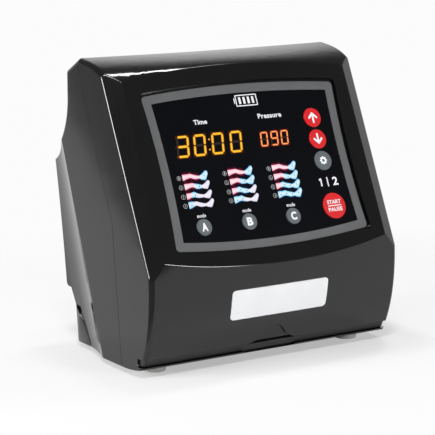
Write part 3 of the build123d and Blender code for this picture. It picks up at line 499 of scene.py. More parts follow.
@dataclass
class Studio:
    """The camera, the pale floor and the soft lights, in metres, with shades from 0 to 1.

    A ramp is a low and a high measure, and the share that stands for each. The fades measure
    the distance from the pump's footprint and give the share of plain paper: near and far to
    the camera, mirror to reflections. The paper ends where x + paper_slant x y comes to
    paper_edge, give or take the waver, and past it glows by paper_past. The backdrop's ramps
    measure a direction's run along backdrop_way and its height.
    """

    lens_mm: float = 152.0
    camera_at: Point = (-0.62175, -0.95732, 0.30734)
    camera_turn_deg: Point = (78.76, 0.0, -32.81)
    floor_shade: float = 0.93
    floor_reach: float = 14.0
    backdrop: Colour = (0.972, 0.972, 0.974)
    foot_half: Spot = (0.09, 0.06)
    near_fade: Ramp = (0.0, 0.035, 0.0, 0.78)
    far_fade: Ramp = (0.01, 0.3, 0.4, 1.0)
    mirror_fade: Ramp = (0.0, 0.1, 0.3, 1.0)
    paper_edge: float = -0.162
    paper_slant: float = 0.486
    paper_waver: float = 0.03
    paper_soft: float = 0.004
    paper_past: float = 0.36
    room: float = 0.2
    backdrop_way: Spot = (0.54, 0.84)
    backdrop_run: Ramp = (0.55, 0.95, 0.0, 1.0)
    backdrop_height: Ramp = (0.3, 0.75, 1.0, 0.0)
    right_wall: Ramp = (0.75, 0.96, 0.0, 0.42)
    lamp_aim: Point = (0.0, 0.0, 0.08)
    lamps: tuple[tuple[str, Point, Spot, float], ...] = (
        ("soft_box_key", (-0.58, -0.82, 1.34), (0.34, 0.34), 11.0),
        ("soft_box_top", (0.6, 0.31, 1.585), (0.12, 0.6), 5.0),
        ("soft_box_front", (0.64, -1.44, 0.45), (0.36, 0.2), 7.0),
        ("strip_left", (-1.3, 0.15, 0.38), (0.6, 0.5), 19.0),
    )

    def camera(self) -> None:
        """Makes the camera and gives it to the scene."""
        lens = bpy.data.cameras.new("studio_camera")
        lens.lens, lens.sensor_width = self.lens_mm, 36.0
        lens.clip_start, lens.clip_end = 0.05, 60.0
        made = stand("studio_camera", lens)
        made.location = self.camera_at
        made.rotation_euler = tuple(radians(turn) for turn in self.camera_turn_deg)
        bpy.context.scene.camera = made

    def floor(self) -> None:
        """Makes the pale floor below the feet: a flat grid over its reach, where z is 0."""
        steps = np.linspace(-self.floor_reach, self.floor_reach, 9)
        across, along = np.meshgrid(steps, steps, indexing="ij")
        points = np.stack([across, along, np.zeros_like(across)], axis=-1)
        mesh = bpy.data.meshes.new("studio_floor")
        mesh.from_pydata(points.reshape(-1, 3).tolist(), [], grid_faces(*across.shape).tolist())
        mesh.update()
        made = stand("studio_floor", mesh)
        made.data.materials.append(self.floor_white())

    def floor_white(self) -> bpy.types.Material:
        """The floor's finish.

        Near the footprint it shows the lamps' light and shadow, and farther out it is plain
        paper. In reflections the paper ends at a slanting line to the left, past which it is dim.

        Returns:
            The material.
        """
        made = bpy.data.materials.new("floor_white")
        made.use_nodes = True
        graph = Graph(made.node_tree)
        shade = graph.noise(3.0, 2.0).ramp(0.3, 0.7, self.floor_shade * 0.995, self.floor_shade)
        grey = graph.node("ShaderNodeCombineColor", None, {0: shade, 1: shade, 2: shade})
        lit = graph.node(
            "ShaderNodeBsdfPrincipled",
            None,
            {"Base Color": grey.outputs[0], "Roughness": 0.9, "Specular IOR Level": 0.1},
        )
        away = self.away(graph)
        seen, mirrored = graph.rays()
        fade = away.ramp(*self.near_fade).at_least(away.ramp(*self.far_fade)) * seen
        beyond = away.ramp(*self.mirror_fade) * mirrored
        waver = (graph.noise(9.0, 3.0) - 0.5) * self.paper_waver
        edge = graph.axis("X") + graph.axis("Y") * self.paper_slant + waver
        low, high = self.paper_edge - self.paper_soft, self.paper_edge + self.paper_soft
        past = edge.ramp(low, high, 1.0, 0.0) * mirrored
        white, dim = (
            graph.node("ShaderNodeEmission", None, {"Color": self.backdrop, "Strength": strength})
            for strength in (1.0, self.paper_past)
        )
        both = graph.blend(fade.at_least(beyond), lit, graph.blend(past, white, dim))
        graph.node("ShaderNodeOutputMaterial", None, {"Surface": both.outputs[0]})
        return made

    def away(self, graph: Graph) -> Signal:
        """The distance of a floor point from the pump's footprint.

        It is the length of what is left of |x| and |y| past the footprint's half sizes.

        Args:
            graph: The floor material's nodes.

        Returns:
            The distance in metres.
        """
        past = []
        for name, half in zip("XY", self.foot_half):
            along = graph.axis(name)
            past.append((along.at_least(along * -1.0) - half).at_least(0.0))
        return (past[0] ** 2.0 + past[1] ** 2.0) ** 0.5

    def world(self) -> None:
        """Sets the white background, and the room that lights the object.

        The camera sees plain white all round. The room is white at the backdrop behind the
        object and dim elsewhere: strength = room + backdrop share x (1 - room) + a pale wall on
        the right, where the share rises with the direction's run towards the backdrop and falls
        with its height.
        """
        made = bpy.data.worlds.new("studio_world")
        made.use_nodes = True
        graph = Graph(made.node_tree)
        parts = graph.node("ShaderNodeSeparateXYZ", None, {0: graph.place("Generated")})
        x, y, z = (Signal(graph, parts.outputs[name]) for name in "XYZ")
        run = x * self.backdrop_way[0] + y * self.backdrop_way[1]
        share = run.ramp(*self.backdrop_run) * z.ramp(*self.backdrop_height)
        room = share * (1.0 - self.room) + self.room + x.ramp(*self.right_wall)
        seen, mirrored = graph.rays()
        dim, white = (
            graph.node("ShaderNodeBackground", None, {"Color": colour, "Strength": strength})
            for colour, strength in (((1.0, 1.0, 1.0), room), (self.backdrop, 1.0))
        )
        both = graph.blend((seen + mirrored * share).at_most(1.0), dim, white)
        graph.node("ShaderNodeOutputWorld", None, {"Surface": both.outputs[0]})
        bpy.context.scene.world = made

    def lamp(self, name: str, at: Point, size: Spot, watts: float) -> None:
        """Makes one soft box that faces the pump.

        Args:
            name: Its name.
            at: Its place.
            size: Its width and height.
            watts: Its power.
        """
        light = bpy.data.lights.new(name, "AREA")
        light.shape, light.energy = "RECTANGLE", watts
        light.size, light.size_y = size
        made = stand(name, light)
        made.location = at
        way = Vector(self.lamp_aim) - Vector(at)
        made.rotation_euler = way.to_track_quat("-Z", "Y").to_euler()

    def build(self) -> None:
        """Builds the whole studio."""
        bpy.context.scene.view_settings.view_transform = "Standard"
        self.camera()
        self.floor()
        self.world()
        for name, at, size, watts in self.lamps:
            self.lamp(name, at, size, watts)


@dataclass
class Smoother:
    """Makes smoothed copies of nodes.

    Corners that lie together are merged, edges over an angle stay sharp, and at each corner
    the faces count by their area and angle.
    """

    nodes: dict[str, bpy.types.Object]
    merge_mm: float = 0.01

    def copy(
        self, node: str, body: str, paint: Paint, slot: str, sharp_deg: float = 32.0
    ) -> None:
        """Makes the smoothed copy that stands for a node.

        Args:
            node: The node's name.
            body: The body that it rides on.
            paint: Its finish.
            slot: Not used; the name of the slot for that finish.
            sharp_deg: The turn over which an edge stays sharp.
        """
        mesh = self.nodes[node].data.copy()
        mesh.name = f"{node}_smooth"
        mesh.materials.clear()
        shape = bmesh.new()
        shape.from_mesh(mesh)
        bmesh.ops.remove_doubles(shape, verts=shape.verts, dist=self.merge_mm * MM)
        bmesh.ops.dissolve_degenerate(shape, edges=shape.edges, dist=self.merge_mm * MM)
        limit = radians(sharp_deg)
        for edge in shape.edges:
            edge.smooth = edge.is_manifold and edge.calc_face_angle() < limit
        for face in shape.faces:
            face.smooth = True
        shape.to_mesh(mesh)
        shape.free()
        made = stand(f"{node}_smooth", mesh)
        weigh = made.modifiers.new("face_weights", "WEIGHTED_NORMAL")
        weigh.mode, weigh.keep_sharp = "FACE_AREA_WITH_ANGLE", True
        paint.on(made)
        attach(made, body)
        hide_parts(node)
        log.info("%s: smoothed copy of %d faces", node, len(mesh.polygons))


@dataclass(frozen=True)
class PanelFace:
    """The control panel's own frame, in millimetres: right, up and depth behind the grey frame."""

    origin_y: float = -37.5
    origin_z: float = 120.5
    tilt_deg: float = 25.0
    window_depth: float = 0.3
    key_depth: float = -0.5

    def place(self, right: np.ndarray, up: np.ndarray, depth: np.ndarray) -> np.ndarray:
        """Turns panel coordinates into the part's own.

        y is the origin's + up x sine + depth x cosine of the tilt, and z is the origin's
        + up x cosine - depth x sine.

        Args:
            right: Distance to the right of the panel's centre.
            up: Distance up the panel.
            depth: Distance behind the frame's face.

        Returns:
            Points in metres, one row each.
        """
        cosine, sine = cos(radians(self.tilt_deg)), sin(radians(self.tilt_deg))
        y = self.origin_y + up * sine + depth * cosine
        z = self.origin_z + up * cosine - depth * sine
        return np.stack([right, y, z], axis=-1) * MM


@dataclass(frozen=True)
class Ink:
    """The colour of one printed or lit shape: at its edge, in its middle, and how solid it is.

    Colours are 0-255 display values.
    """

    edge: Colour
    core: Colour
    edge_alpha: float = 1.0
    core_alpha: float = 1.0

    def shade(self, middle: np.ndarray) -> np.ndarray:
        """Blends from edge to core.

        Args:
            middle: 0 at the shape's edge to 1 in its middle.

        Returns:
            Red, green, blue and alpha for each value.
        """
        first = np.array([*srgb(self.edge), self.edge_alpha])
        second = np.array([*srgb(self.core), self.core_alpha])
        return first + (second - first) * middle[..., None]


def plain(red: float, green: float, blue: float) -> Ink:
    """An ink of one colour, from 0-255 display values."""
    return Ink((red, green, blue), (red, green, blue))


class Sheet:
    """Thin raised shapes on one level of the panel, gathered into one piece."""

    blunt: float = 0.12  # what a mitred bar's width comes down to at its ends
    pinhole: float = 0.01  # radius of the hole that a full disc is left with

    def __init__(self, face: PanelFace, base: float) -> None:
        """Starts an empty sheet.

        Args:
            face: The panel's frame.
            base: The depth in it of the level that the sheet stands on.
        """
        self.face = face
        self.base = base
        self.points: list[np.ndarray] = []
        self.colours: list[np.ndarray] = []
        self.faces: list[list[int]] = []
        self.count = 0

    def add(
        self, flat: np.ndarray, depth: np.ndarray, faces: list[list[int]], colours: np.ndarray
    ) -> None:
        """Takes in one shape.

        Args:
            flat: Its points, right and up.
            depth: The depth of each point.
            faces: Its faces, by the places of their points.
            colours: Red, green, blue and alpha of each point.
        """
        self.points.append(self.face.place(flat[:, 0], flat[:, 1], depth))
        self.colours.append(colours)
        self.faces.extend([[place + self.count for place in face] for face in faces])
        self.count += len(flat)

    def grid(
        self, flat: np.ndarray, colours: np.ndarray, height: float, wrap: bool = False
    ) -> None:
        """Adds a grid of points as a low slab, whose outer ring of points drops to the base.

        Args:
            flat: Rows by columns by 2, right and up.
            colours: Rows by columns by 4.
            height: How far the slab stands above the base.
            wrap: Whether the last column joins the first.
        """
        around = (0, 0) if wrap else (1, 1)
        flat = np.pad(flat, ((1, 1), around, (0, 0)), mode="edge")
        colours = np.pad(colours, ((1, 1), around, (0, 0)), mode="edge")
        rows, columns = flat.shape[:2]
        depth = np.full((rows, columns), self.base - height)
        depth[[0, -1], :] = self.base
        if not wrap:
            depth[:, [0, -1]] = self.base
        faces = grid_faces(rows, columns, wrap).tolist()
        self.add(flat.reshape(-1, 2), depth.ravel(), faces, colours.reshape(-1, 4))

    def ruled(
        self,
        low: np.ndarray,
        high: np.ndarray,
        ink: Ink,
        height: float = RAISED_MM,
        steps: int = 7,
    ) -> None:
        """Adds the area between two lines of as many points, shaded from its edges to its middle.

        The shade is 1 - (2t - 1) squared across, with t from 0 at the low line to 1 at the high.

        Args:
            low: Points of the lower line, from left to right.
            high: Points of the upper line.
            ink: Its colours.
            height: How far it stands above the base.
            steps: Points across.
        """
        share = np.linspace(0.0, 1.0, steps)
        flat = low[:, None, :] + (high - low)[:, None, :] * share[None, :, None]
        middle = np.broadcast_to(1.0 - (2.0 * share - 1.0) ** 2, flat.shape[:2])
        self.grid(flat, ink.shade(middle), height)

    def bar(
        self,
        start: Spot,
        end: Spot,
        half: float,
        ink: Ink,
        round_ends: bool = False,
        height: float = RAISED_MM,
    ) -> None:
        """Adds a straight bar with mitred or round ends.

        The half width at each point along is the full one times the end shape: a straight
        taper over one half width, down to the blunt share, or a quarter circle.

        Args:
            start: Where its middle line starts, right and up.
            end: Where its middle line ends.
            half: Half of its width.
            ink: Its colours.
            round_ends: Whether the ends are round instead of mitred.
            height: How far it stands above the base.
        """
        first, last = np.array(start), np.array(end)
        length = float(np.hypot(*(last - first)))
        along = (last - first) / length
        across = np.array([-along[1], along[0]])
        if round_ends:
            turn = np.linspace(-np.pi / 2, np.pi / 2, 13)
            run = np.concatenate([half * np.sin(turn[:6]), length + half * np.sin(turn[7:])])
            width = half * np.concatenate([np.cos(turn[:6]), np.cos(turn[7:])])
        else:
            run = np.array([0.0, half, length - half, length])
            width = half * np.array([self.blunt, 1.0, 1.0, self.blunt])
        middle = first + along * run[:, None]
        self.ruled(middle - across * width[:, None], middle + across * width[:, None], ink, height)

    def disc(
        self, centre: Spot, inner: float, outer: np.ndarray, ink: Ink, height: float = RAISED_MM
    ) -> None:
        """Adds a disc or a ring in polar steps: its middle plus radius x (cos, sin) of the turn.

        The shade is 1 - t squared, with t from 0 at the hole to 1 at the rim.

        Args:
            centre: Its middle, right and up.
            inner: Radius of its hole, 0 for none.
            outer: Outer radius at each of its steps round.
            ink: Its colours.
            height: How far it stands above the base.
        """
        turn = np.linspace(0.0, 2.0 * np.pi, len(outer), endpoint=False)
        share = np.linspace(0.0, 1.0, 4)[:, None]
        hole = max(inner, self.pinhole)
        radius = hole + (outer[None, :] - hole) * share
        right, up = centre[0] + radius * np.cos(turn), centre[1] + radius * np.sin(turn)
        middle = 1.0 - np.broadcast_to(share, radius.shape) ** 2
        self.grid(np.stack([right, up], axis=-1), ink.shade(middle), height, wrap=True)

    def word(self, text: str, low: Spot, high: Spot, ink: Ink, bold: float) -> None:
        """Adds letters stretched to fill a box: low + share of their own box x (high - low).

        Args:
            text: The letters.
            low: Lower left corner of the box, right and up.
            high: Upper right corner.
            ink: Its colours, of which the core is used.
            bold: How much the strokes are thickened, as a share of the letter size.
        """
        curve = bpy.data.curves.new("letters", "FONT")
        curve.body, curve.offset, curve.extrude = text, bold, 0.5
        curve.resolution_u, curve.space_character = 3, 1.04
        thing = stand("letters", curve)
        bpy.context.view_layer.update()
        solid = thing.evaluated_get(bpy.context.evaluated_depsgraph_get())
        mesh = bpy.data.meshes.new_from_object(solid)
        points = np.zeros(len(mesh.vertices) * 3)
        mesh.vertices.foreach_get("co", points)
        points = points.reshape(-1, 3)
        faces = [list(face.vertices) for face in mesh.polygons]
        bpy.data.objects.remove(thing)
        bpy.data.curves.remove(curve)
        bpy.data.meshes.remove(mesh)
        small, large = points[:, :2].min(axis=0), points[:, :2].max(axis=0)
        share = (points[:, :2] - small) / (large - small)
        flat = np.array(low) + share * (np.array(high) - np.array(low))
        depth = np.where(points[:, 2] > 0, self.base - RAISED_MM, self.base)
        self.add(flat, depth, faces, ink.shade(np.ones(len(points))))

    def make(self, name: str, paint: Paint, body: str) -> None:
        """Makes the piece.

        Args:
            name: Its name.
            paint: Its finish, which reads the painted tint.
            body: The body that it rides on.
        """
        mesh = bpy.data.meshes.new(name)
        mesh.from_pydata(np.concatenate(self.points).tolist(), [], self.faces)
        layer = mesh.color_attributes.new("tint", "FLOAT_COLOR", "POINT")
        layer.data.foreach_set("color", np.concatenate(self.colours).astype(np.float32).ravel())
        mesh.update()
        made = stand(name, mesh)
        paint.on(made)
        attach(made, body)
        log.info("%s: %d faces", name, len(self.faces))


@dataclass(frozen=True)
class Digits:
    """A row of seven-segment digits behind the window: lit bars, unlit bars and their glow.

    Lefts and low are where the digits stand on the panel, in millimetres. The shares are those
    of a bar's half width: in the gap at its ends, the glow, an unlit bar, and a dot and its glow.
    """

    name: str
    text: str
    lefts: tuple[float, ...]
    low: float
    width: float
    height: float
    half_bar: float
    lean_deg: float
    lit: Ink
    glow: Ink
    dots: tuple[Spot, ...] = ()
    # The unlit bars get the same emitting finish as the lit ones, so this dim colour is a faint
    # painted glow. It stands in for the light that the off segments reflect.
    unlit: Ink = plain(42, 32, 28)
    unlit_height: float = 0.012
    gap_share: float = 0.28
    glow_share: float = 2.3
    unlit_share: float = 0.9
    dot_share: float = 0.72
    dot_glow_share: float = 1.7
    shapes: tuple[tuple[str, str], ...] = (("0", "abcdef"), ("3", "abcdg"), ("9", "abcdfg"))

    def bars(self) -> dict[str, tuple[Spot, Spot]]:
        """The two ends of each bar's middle line, in a digit that stands upright on its corner.

        Returns:
            Ends by the bar's usual letter.
        """
        gap = self.half_bar * self.gap_share
        left, right = self.half_bar, self.width - self.half_bar
        low, middle, high = self.half_bar, self.height / 2, self.height - self.half_bar
        return {
            "a": ((left + gap, high), (right - gap, high)),
            "b": ((right, middle + gap), (right, high - gap)),
            "c": ((right, low + gap), (right, middle - gap)),
            "d": ((left + gap, low), (right - gap, low)),
            "e": ((left, low + gap), (left, middle - gap)),
            "f": ((left, middle + gap), (left, high - gap)),
            "g": ((left + gap, middle), (right - gap, middle)),
        }

    def draw(self, face: PanelFace) -> None:
        """Makes the lit piece, and the glow with the unlit bars below it.

        A digit leans by the tangent of its angle, about its middle height.

        Args:
            face: The panel's frame.
        """
        lean = np.tan(radians(self.lean_deg))
        under = Sheet(face, face.window_depth)
        over = Sheet(face, face.window_depth - LEVEL_MM)
        lit_bars = dict(self.shapes)
        for left, sign in zip(self.lefts, self.text):
            for bar, ends in self.bars().items():
                start, end = (
                    (left + x + (y - self.height / 2) * lean, self.low + y) for x, y in ends
                )
                if bar in lit_bars[sign]:
                    under.bar(start, end, self.half_bar * self.glow_share, self.glow, True, GLOW_MM)
                    over.bar(start, end, self.half_bar, self.lit)
                else:
                    # An unlit bar: its dim colour glows faintly, as a painted glow.
                    half = self.half_bar * self.unlit_share
                    under.bar(start, end, half, self.unlit, False, self.unlit_height)
        for dot in self.dots:
            halo = np.full(24, self.half_bar * self.dot_glow_share)
            under.disc(dot, 0.0, halo, self.glow, GLOW_MM)
            over.disc(dot, 0.0, np.full(24, self.half_bar * self.dot_share), self.lit)
        under.make(f"{self.name}_glow", Paint.LIT, "housing")
        over.make(f"{self.name}_lit", Paint.LIT, "housing")


@dataclass(frozen=True)
class Legs:
    """Three columns of leg drawings, whose coloured zones show how each mode fills the sleeve.

    Each drawing is a thigh, knee and calf between an upper and a lower line, and a foot turned
    up at its end, in millimetres from the middle of the thigh's cut edge. A ring with the row's
    number stands to its left.
    """

    columns: tuple[float, ...] = (-54.5, -22.1, 10.2)
    rows: tuple[float, ...] = (-4.0, -9.8, -15.7, -21.25)
    top: tuple[Spot, ...] = ((0, 2.0), (3.0, 2.05), (5.8, 2.2), (8.9, 1.0), (11.9, 0.3))
    under: tuple[Spot, ...] = ((0, -1.85), (2.6, -0.95), (5.3, -0.35), (8.2, -1.5), (11.9, -1.35))
    foot_low: tuple[Spot, ...] = (
        (11.9, -1.35), (12.9, -1.9), (15.5, -2.4), (16.3, -1.6), (17.2, -0.1), (18.0, 1.3)
    )
    foot_high: tuple[Spot, ...] = (
        (11.9, 0.3), (13.4, 0.75), (15.0, 1.7), (16.1, 2.6), (17.1, 3.0), (17.9, 2.5)
    )
    zones: tuple[tuple[str, ...], ...] = (
        ("PPPB", "PPBW", "PBWW", "BWWW"),
        ("PPPB", "PPBB", "PBBW", "BBWW"),
        ("PPPB", "PPBB", "PBBB", "BBBB"),
    )
    cuts: tuple[float, ...] = (0.0, 3.7, 7.2, 11.9)
    spots: tuple[Spot, ...] = ((2.0, 0.0), (6.2, 0.5), (10.3, -0.35), (15.2, 0.0))
    spot_radius: float = 0.34
    spot_height: float = 0.045
    blue_swell: float = 0.35
    glow_swell: float = 1.6
    ring_left: float = 2.5
    ring: Spot = (1.22, 1.46)
    figure_half: Spot = (0.42, 0.72)
    figure_bold: float = 0.01
    pink: Ink = Ink((248, 150, 178), (255, 226, 232))
    blue: Ink = Ink((116, 196, 232), (214, 240, 252))
    white: Ink = Ink((206, 198, 222), (238, 234, 244))
    pink_glow: Ink = Ink((136, 0, 54), (128, 0, 52), 0.0, 0.95)
    blue_glow: Ink = Ink((0, 30, 84), (0, 36, 104), 0.0, 0.95)
    spot: Ink = plain(30, 40, 60)
    number: Ink = plain(176, 176, 178)

    def lines(self, zone: int, swell: float) -> tuple[np.ndarray, np.ndarray]:
        """The lower and upper line of one zone.

        Each lies between its given points, pushed out by swell x the sine of 0.15 to 0.85 of
        a half turn.

        Args:
            zone: 0 for the thigh, 1 the knee, 2 the calf, 3 the foot.
            swell: How far the zone stands out past the leg.

        Returns:
            Points of the lower line and of the upper one.
        """
        if zone == 3:
            low, high = np.array(self.foot_low, float), np.array(self.foot_high, float)
        else:
            run = np.linspace(self.cuts[zone], self.cuts[zone + 1], 7)
            low = np.stack([run, np.interp(run, *np.array(self.under, float).T)], axis=-1)
            high = np.stack([run, np.interp(run, *np.array(self.top, float).T)], axis=-1)
        puff = np.sin(np.linspace(0.15, 0.85, len(low)) * np.pi) * swell
        low[:, 1] -= puff
        high[:, 1] += puff
        return low, high

    def leg(self, glow: Sheet, legs: Sheet, at: np.ndarray, mode: str) -> None:
        """Draws one leg: the glow and the area of each zone, and a spot on each blue one.

        Args:
            glow: The sheet of the glow.
            legs: The sheet of the drawings.
            at: The middle of the thigh's cut edge, right and up.
            mode: P, B or W for each zone: pink, blue or white.
        """
        inks = {
            "P": (self.pink, self.pink_glow),
            "B": (self.blue, self.blue_glow),
            "W": (self.white, None),
        }
        for zone, kind in enumerate(mode):
            ink, halo = inks[kind]
            low, high = self.lines(zone, self.blue_swell if kind == "B" else 0.0)
            legs.ruled(low + at, high + at, ink)
            if halo is not None:
                low, high = self.lines(zone, self.glow_swell)
                glow.ruled(low + at, high + at, halo, GLOW_MM, 9)
            if kind == "B":
                middle = (at[0] + self.spots[zone][0], at[1] + self.spots[zone][1])
                rim = np.full(16, self.spot_radius)
                legs.disc(middle, 0.0, rim, self.spot, self.spot_height)

    def draw(self, face: PanelFace) -> None:
        """Makes the glow, the drawings and the row numbers.

        Args:
            face: The panel's frame.
        """
        glow = Sheet(face, face.window_depth)
        legs = Sheet(face, face.window_depth - LEVEL_MM)
        numbers = Sheet(face, face.window_depth)
        wide, tall = self.figure_half
        for column, modes in zip(self.columns, self.zones):
            for place, (row, mode) in enumerate(zip(self.rows, modes)):
                self.leg(glow, legs, np.array([column, row]), mode)
                x = column - self.ring_left
                numbers.disc((x, row), self.ring[0], np.full(32, self.ring[1]), self.number)
                low, high = (x - wide, row - tall), (x + wide, row + tall)
                numbers.word(str(place + 1), low, high, self.number, self.figure_bold)
        glow.make("legs_glow", Paint.LIT, "housing")
        legs.make("legs_drawn", Paint.LIT, "housing")
        numbers.make("row_numbers", Paint.GLOWING_PRINT, "housing")


@dataclass(frozen=True)
class Labels:
    """The plain white print on the window: words, the battery sign and the level numbers."""

    white: Ink = plain(236, 236, 240)
    words: tuple[tuple[str, Spot, Spot], ...] = (
        ("Time", (-37.9, 28.0), (-28.2, 31.1)),
        ("Pressure", (9.1, 28.2), (26.6, 31.4)),
    )
    modes: tuple[float, ...] = (-47.6, -15.2, 17.3)
    mode_half: float = 3.1
    mode_rows: Spot = (-29.3, -27.0)
    bold: float = 0.03
    mode_bold: float = 0.02
    one: tuple[tuple[Spot, Spot, float], ...] = (
        ((44.0, -19.2), (44.0, -13.7), 0.5),
        ((42.5, -15.2), (43.9, -14.0), 0.42),
    )
    two: tuple[Spot, Spot] = ((52.6, -19.2), (56.7, -13.7))
    divider: tuple[Spot, Spot] = ((48.9, -19.6), (48.9, -13.3))
    divider_half: float = 0.42
    battery: tuple[float, float, float, float] = (-4.0, 37.4, 11.2, 44.2)
    battery_bars: int = 4
    battery_inset: float = 1.2
    battery_line: float = 0.36
    charge_half: float = 0.82
    nub_inset: float = 1.9

    def draw(self, face: PanelFace) -> None:
        """Makes the print.

        Args:
            face: The panel's frame.
        """
        sheet = Sheet(face, face.window_depth)
        for text, low, high in self.words:
            sheet.word(text, low, high, self.white, self.bold)
        low, high = self.mode_rows
        for middle in self.modes:
            left, right = middle - self.mode_half, middle + self.mode_half
            sheet.word("mode", (left, low), (right, high), self.white, self.mode_bold)
        for start, end, half in self.one:
            sheet.bar(start, end, half, self.white)
        sheet.word("2", *self.two, self.white, self.bold)
        sheet.bar(*self.divider, self.divider_half, self.white)
        self.sign(sheet)
        sheet.make("window_print", Paint.GLOWING_PRINT, "housing")

    def sign(self, sheet: Sheet) -> None:
        """Draws the battery: a frame of four bars, its nub and a row of charge bars.

        Args:
            sheet: The sheet of the print.
        """
        left, low, right, high = self.battery
        corners = [(left, low), (right, low), (right, high), (left, high)]
        for start, end in zip(corners, [*corners[1:], corners[0]]):
            sheet.bar(start, end, self.battery_line, self.white, True)
        inset, nub = self.battery_inset, left - self.battery_inset
        start, end = (nub, low + self.nub_inset), (nub, high - self.nub_inset)
        sheet.bar(start, end, self.battery_line, self.white, True)
        pitch = (right - left - 2.0 * inset) / self.battery_bars
        for place in range(self.battery_bars):
            middle = left + inset + pitch * (place + 0.5)
            first, last = middle - self.charge_half, middle + self.charge_half
            below, above = (
                np.array([(first, level), (last, level)]) for level in (low + inset, high - inset)
            )
            sheet.ruled(below, above, self.white)


@dataclass(frozen=True)
class KeySigns:
    """The white signs on the keys; each rides on its own key."""

    white: Ink = plain(246, 246, 248)
    arrows: tuple[tuple[str, Spot, float], ...] = (
        ("key_up", (49.15, 25.7), 1.0),
        ("key_down", (49.15, 11.5), -1.0),
    )
    arrow_tip: float = 2.7
    arrow_tail: float = 3.1
    arrow_half: float = 0.68
    shaft_inset: float = 0.5
    barb: Spot = (2.75, -0.15)
    settings: Spot = (49.15, -2.7)
    cog_teeth: int = 8
    cog_hole: float = 1.0
    cog_radius: float = 2.45
    tooth_half: float = 0.28
    tooth_steepness: float = 2.5
    start: Spot = (49.2, -32.2)
    start_half: float = 5.2
    start_rows: Spot = (1.1, 3.7)
    start_line: float = 0.3
    start_bold: float = 0.025
    modes: tuple[tuple[str, str, Spot], ...] = (
        ("key_mode_a", "A", (-47.6, -35.4)),
        ("key_mode_b", "B", (-15.2, -35.4)),
        ("key_mode_c", "C", (17.2, -35.4)),
    )
    letter_half: Spot = (2.1, 2.6)
    letter_bold: float = 0.045

    def arrow(self, sign: Sheet, at: Spot, way: float) -> None:
        """Draws an arrow of three round bars.

        Args:
            sign: The key's sheet.
            at: The key's middle.
            way: 1 to point up, -1 down.
        """
        right, up = at
        tip = up + self.arrow_tip * way
        tail, neck = up - self.arrow_tail * way, tip - self.shaft_inset * way
        sign.bar((right, tail), (right, neck), self.arrow_half, self.white, True)
        for side in (-1.0, 1.0):
            barb = (right + side * self.barb[0], up + self.barb[1] * way)
            sign.bar((right, tip), barb, self.arrow_half, self.white, True)

    def cog(self, sign: Sheet) -> None:
        """Draws the cog: a ring whose radius is a cosine of the teeth, steep and cut flat.

        Args:
            sign: The key's sheet.
        """
        turn = np.linspace(0.0, 2.0 * np.pi, 96, endpoint=False)
        wave = np.clip(np.cos(turn * self.cog_teeth) * self.tooth_steepness, -1.0, 1.0)
        rim = self.cog_radius + self.tooth_half * wave
        sign.disc(self.settings, self.cog_hole, rim, self.white)

    def words(self, sign: Sheet) -> None:
        """Draws the two words of the start key, one above and one below a line.

        Args:
            sign: The key's sheet.
        """
        (x, y), (near, far) = self.start, self.start_rows
        left, right = x - self.start_half, x + self.start_half
        sign.word("START", (left, y + near), (right, y + far), self.white, self.start_bold)
        sign.word("PAUSE", (left, y - far), (right, y - near), self.white, self.start_bold)
        sign.bar((left, y), (right, y), self.start_line, self.white)

    def draw(self, face: PanelFace) -> None:
        """Makes all the signs.

        Args:
            face: The panel's frame.
        """
        for name, at, way in self.arrows:
            sign = Sheet(face, face.key_depth)
            self.arrow(sign, at, way)
            sign.make(f"{name}_arrow", Paint.GLOWING_PRINT, name)
        sign = Sheet(face, face.key_depth)
        self.cog(sign)
        sign.make("key_settings_cog", Paint.GLOWING_PRINT, "key_settings")
        sign = Sheet(face, face.key_depth)
        self.words(sign)
        sign.make("key_start_words", Paint.GLOWING_PRINT, "key_start")
        wide, tall = self.letter_half
        for name, letter, (x, y) in self.modes:
            sign = Sheet(face, face.key_depth)
            low, high = (x - wide, y - tall), (x + wide, y + tall)
            sign.word(letter, low, high, self.white, self.letter_bold)
            sign.make(f"{name}_letter", Paint.GLOWING_PRINT, name)


@dataclass
class Panel:
    """The control panel: its frame, window, keys and everything drawn on them."""

    smoother: Smoother
    face: PanelFace = PanelFace()
    keys: tuple[tuple[str, Paint, str], ...] = (
        ("key_up", Paint.RED, "key_red"),
        ("key_down", Paint.RED, "key_red"),
        ("key_settings", Paint.GREY, "key_grey"),
        ("key_start", Paint.RED, "key_red"),
        ("key_mode_a", Paint.GREY, "key_grey"),
        ("key_mode_b", Paint.GREY, "key_grey"),
        ("key_mode_c", Paint.GREY, "key_grey"),
    )
    time: Digits = Digits(
        name="time",
        text="3000",
        lefts=(-53.45, -41.45, -28.55, -15.35),
        low=8.3,
        width=8.7,
        height=13.7,
        half_bar=0.74,
        lean_deg=9.5,
        lit=Ink((252, 158, 22), (255, 200, 52)),
        glow=Ink((60, 26, 0), (74, 32, 2), 0.0, 0.8),
        dots=((-29.7, 18.2), (-30.8, 11.8)),
    )
    pressure: Digits = Digits(
        name="pressure",
        text="090",
        lefts=(7.05, 14.75, 22.25),
        low=10.2,
        width=5.5,
        height=9.4,
        half_bar=0.5,
        lean_deg=8.0,
        lit=Ink((250, 110, 52), (255, 178, 108)),
        glow=Ink((120, 16, 4), (140, 22, 6), 0.0, 0.85),
    )

    def dress(self) -> None:
        """Smooths the frame, window and keys, and draws on them."""
        self.smoother.copy("panel_frame", "housing", Paint.FRAME, "frame_grey")
        self.smoother.copy("display_window", "housing", Paint.WINDOW, "window_smoke")
        for key, paint, slot in self.keys:
            self.smoother.copy(key, key, paint, slot)
        for drawn in (self.time, self.pressure, Legs(), Labels(), KeySigns()):
            drawn.draw(self.face)


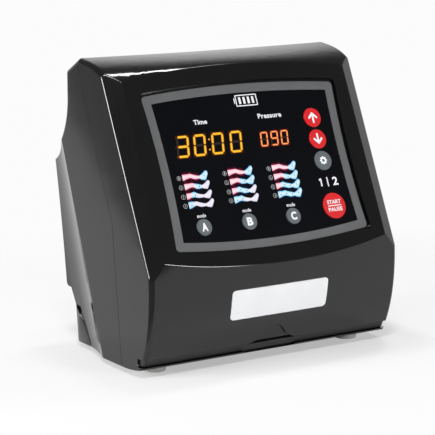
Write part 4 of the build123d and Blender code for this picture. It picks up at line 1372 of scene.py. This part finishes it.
@dataclass
class Case:
    """The moulded case: two shells, and by body, finish and slot the pieces set into them."""

    smoother: Smoother
    shells: tuple[tuple[str, float], ...] = (("front_shell", 32.0), ("rear_shell", 55.0))
    pieces: tuple[tuple[str, str, Paint, str], ...] = (
        ("base_tray", "housing", Paint.TRAY, "tray_black"),
        ("rubber_feet", "housing", Paint.FOOT, "foot_rubber"),
        ("nameplate", "housing", Paint.PLATE, "nameplate_white"),
        ("vent_grille", "housing", Paint.TRAY, "tray_black"),
        ("outlet_socket_left", "housing", Paint.FITTING, "tray_black"),
        ("outlet_socket_right", "housing", Paint.FITTING, "tray_black"),
        ("dc_jack", "housing", Paint.FITTING, "tray_black"),
        ("switch_body", "housing", Paint.FITTING, "tray_black"),
        ("power_rocker", "power_rocker", Paint.FITTING, "tray_black"),
        ("case_screws", "housing", Paint.STEEL, "screw_steel"),
        ("base_screws", "housing", Paint.STEEL, "screw_steel"),
    )

    def dress(self) -> None:
        """Smooths and finishes the pieces that show from outside."""
        for name, sharp_deg in self.shells:
            self.smoother.copy(name, "housing", Paint.CASE, "shell_black", sharp_deg)
        for name, body, paint, slot in self.pieces:
            self.smoother.copy(name, body, paint, slot)


# The pieces inside the case keep their nodes and only get a finish.
INSIDE: dict[Paint, tuple[str, ...]] = {
    Paint.BOARD: ("main_board", "display_board"),
    Paint.PARTS: ("board_components", "buzzer", "tact_switches", "pressure_sensor"),
    Paint.AMBER: ("time_display", "pressure_display"),
    Paint.LIGHTS: ("level_indicator", "zone_indicator"),
    Paint.GASKET: ("panel_gasket", "inlet_filter"),
    Paint.STEEL: (
        "board_screws", "main_board_screws", "manifold_screws", "pump_screws", "battery_contacts"
    ),
    Paint.MOTOR: ("pump_motor", "pump_rotor", "pump_bracket"),
    Paint.BRASS: ("jack_pin",),
    Paint.ROD: ("connecting_rod", "crankcase", "pump_head", "manifold"),
    Paint.MOUNT: ("diaphragm", "pump_mounts"),
    Paint.CELL: ("battery_cells",),
    Paint.HOLDER: ("battery_holder",),
    Paint.VALVE: ("valve_1", "valve_2", "valve_3", "valve_4"),
    Paint.RIBBON: ("display_ribbon",),
    Paint.HOSE: ("air_tubes", "feed_tube", "sensor_tube"),
}


def main() -> None:
    """Builds the dressed pump and its studio."""
    logging.basicConfig(level=logging.INFO, format="%(name)s %(message)s")
    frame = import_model()
    Studio().build()
    smoother = Smoother(frame["nodes"])
    Case(smoother).dress()
    Panel(smoother).dress()
    for paint, names in INSIDE.items():
        for name in names:
            paint.on(frame["nodes"][name])


if __name__ == "__main__":
    main()
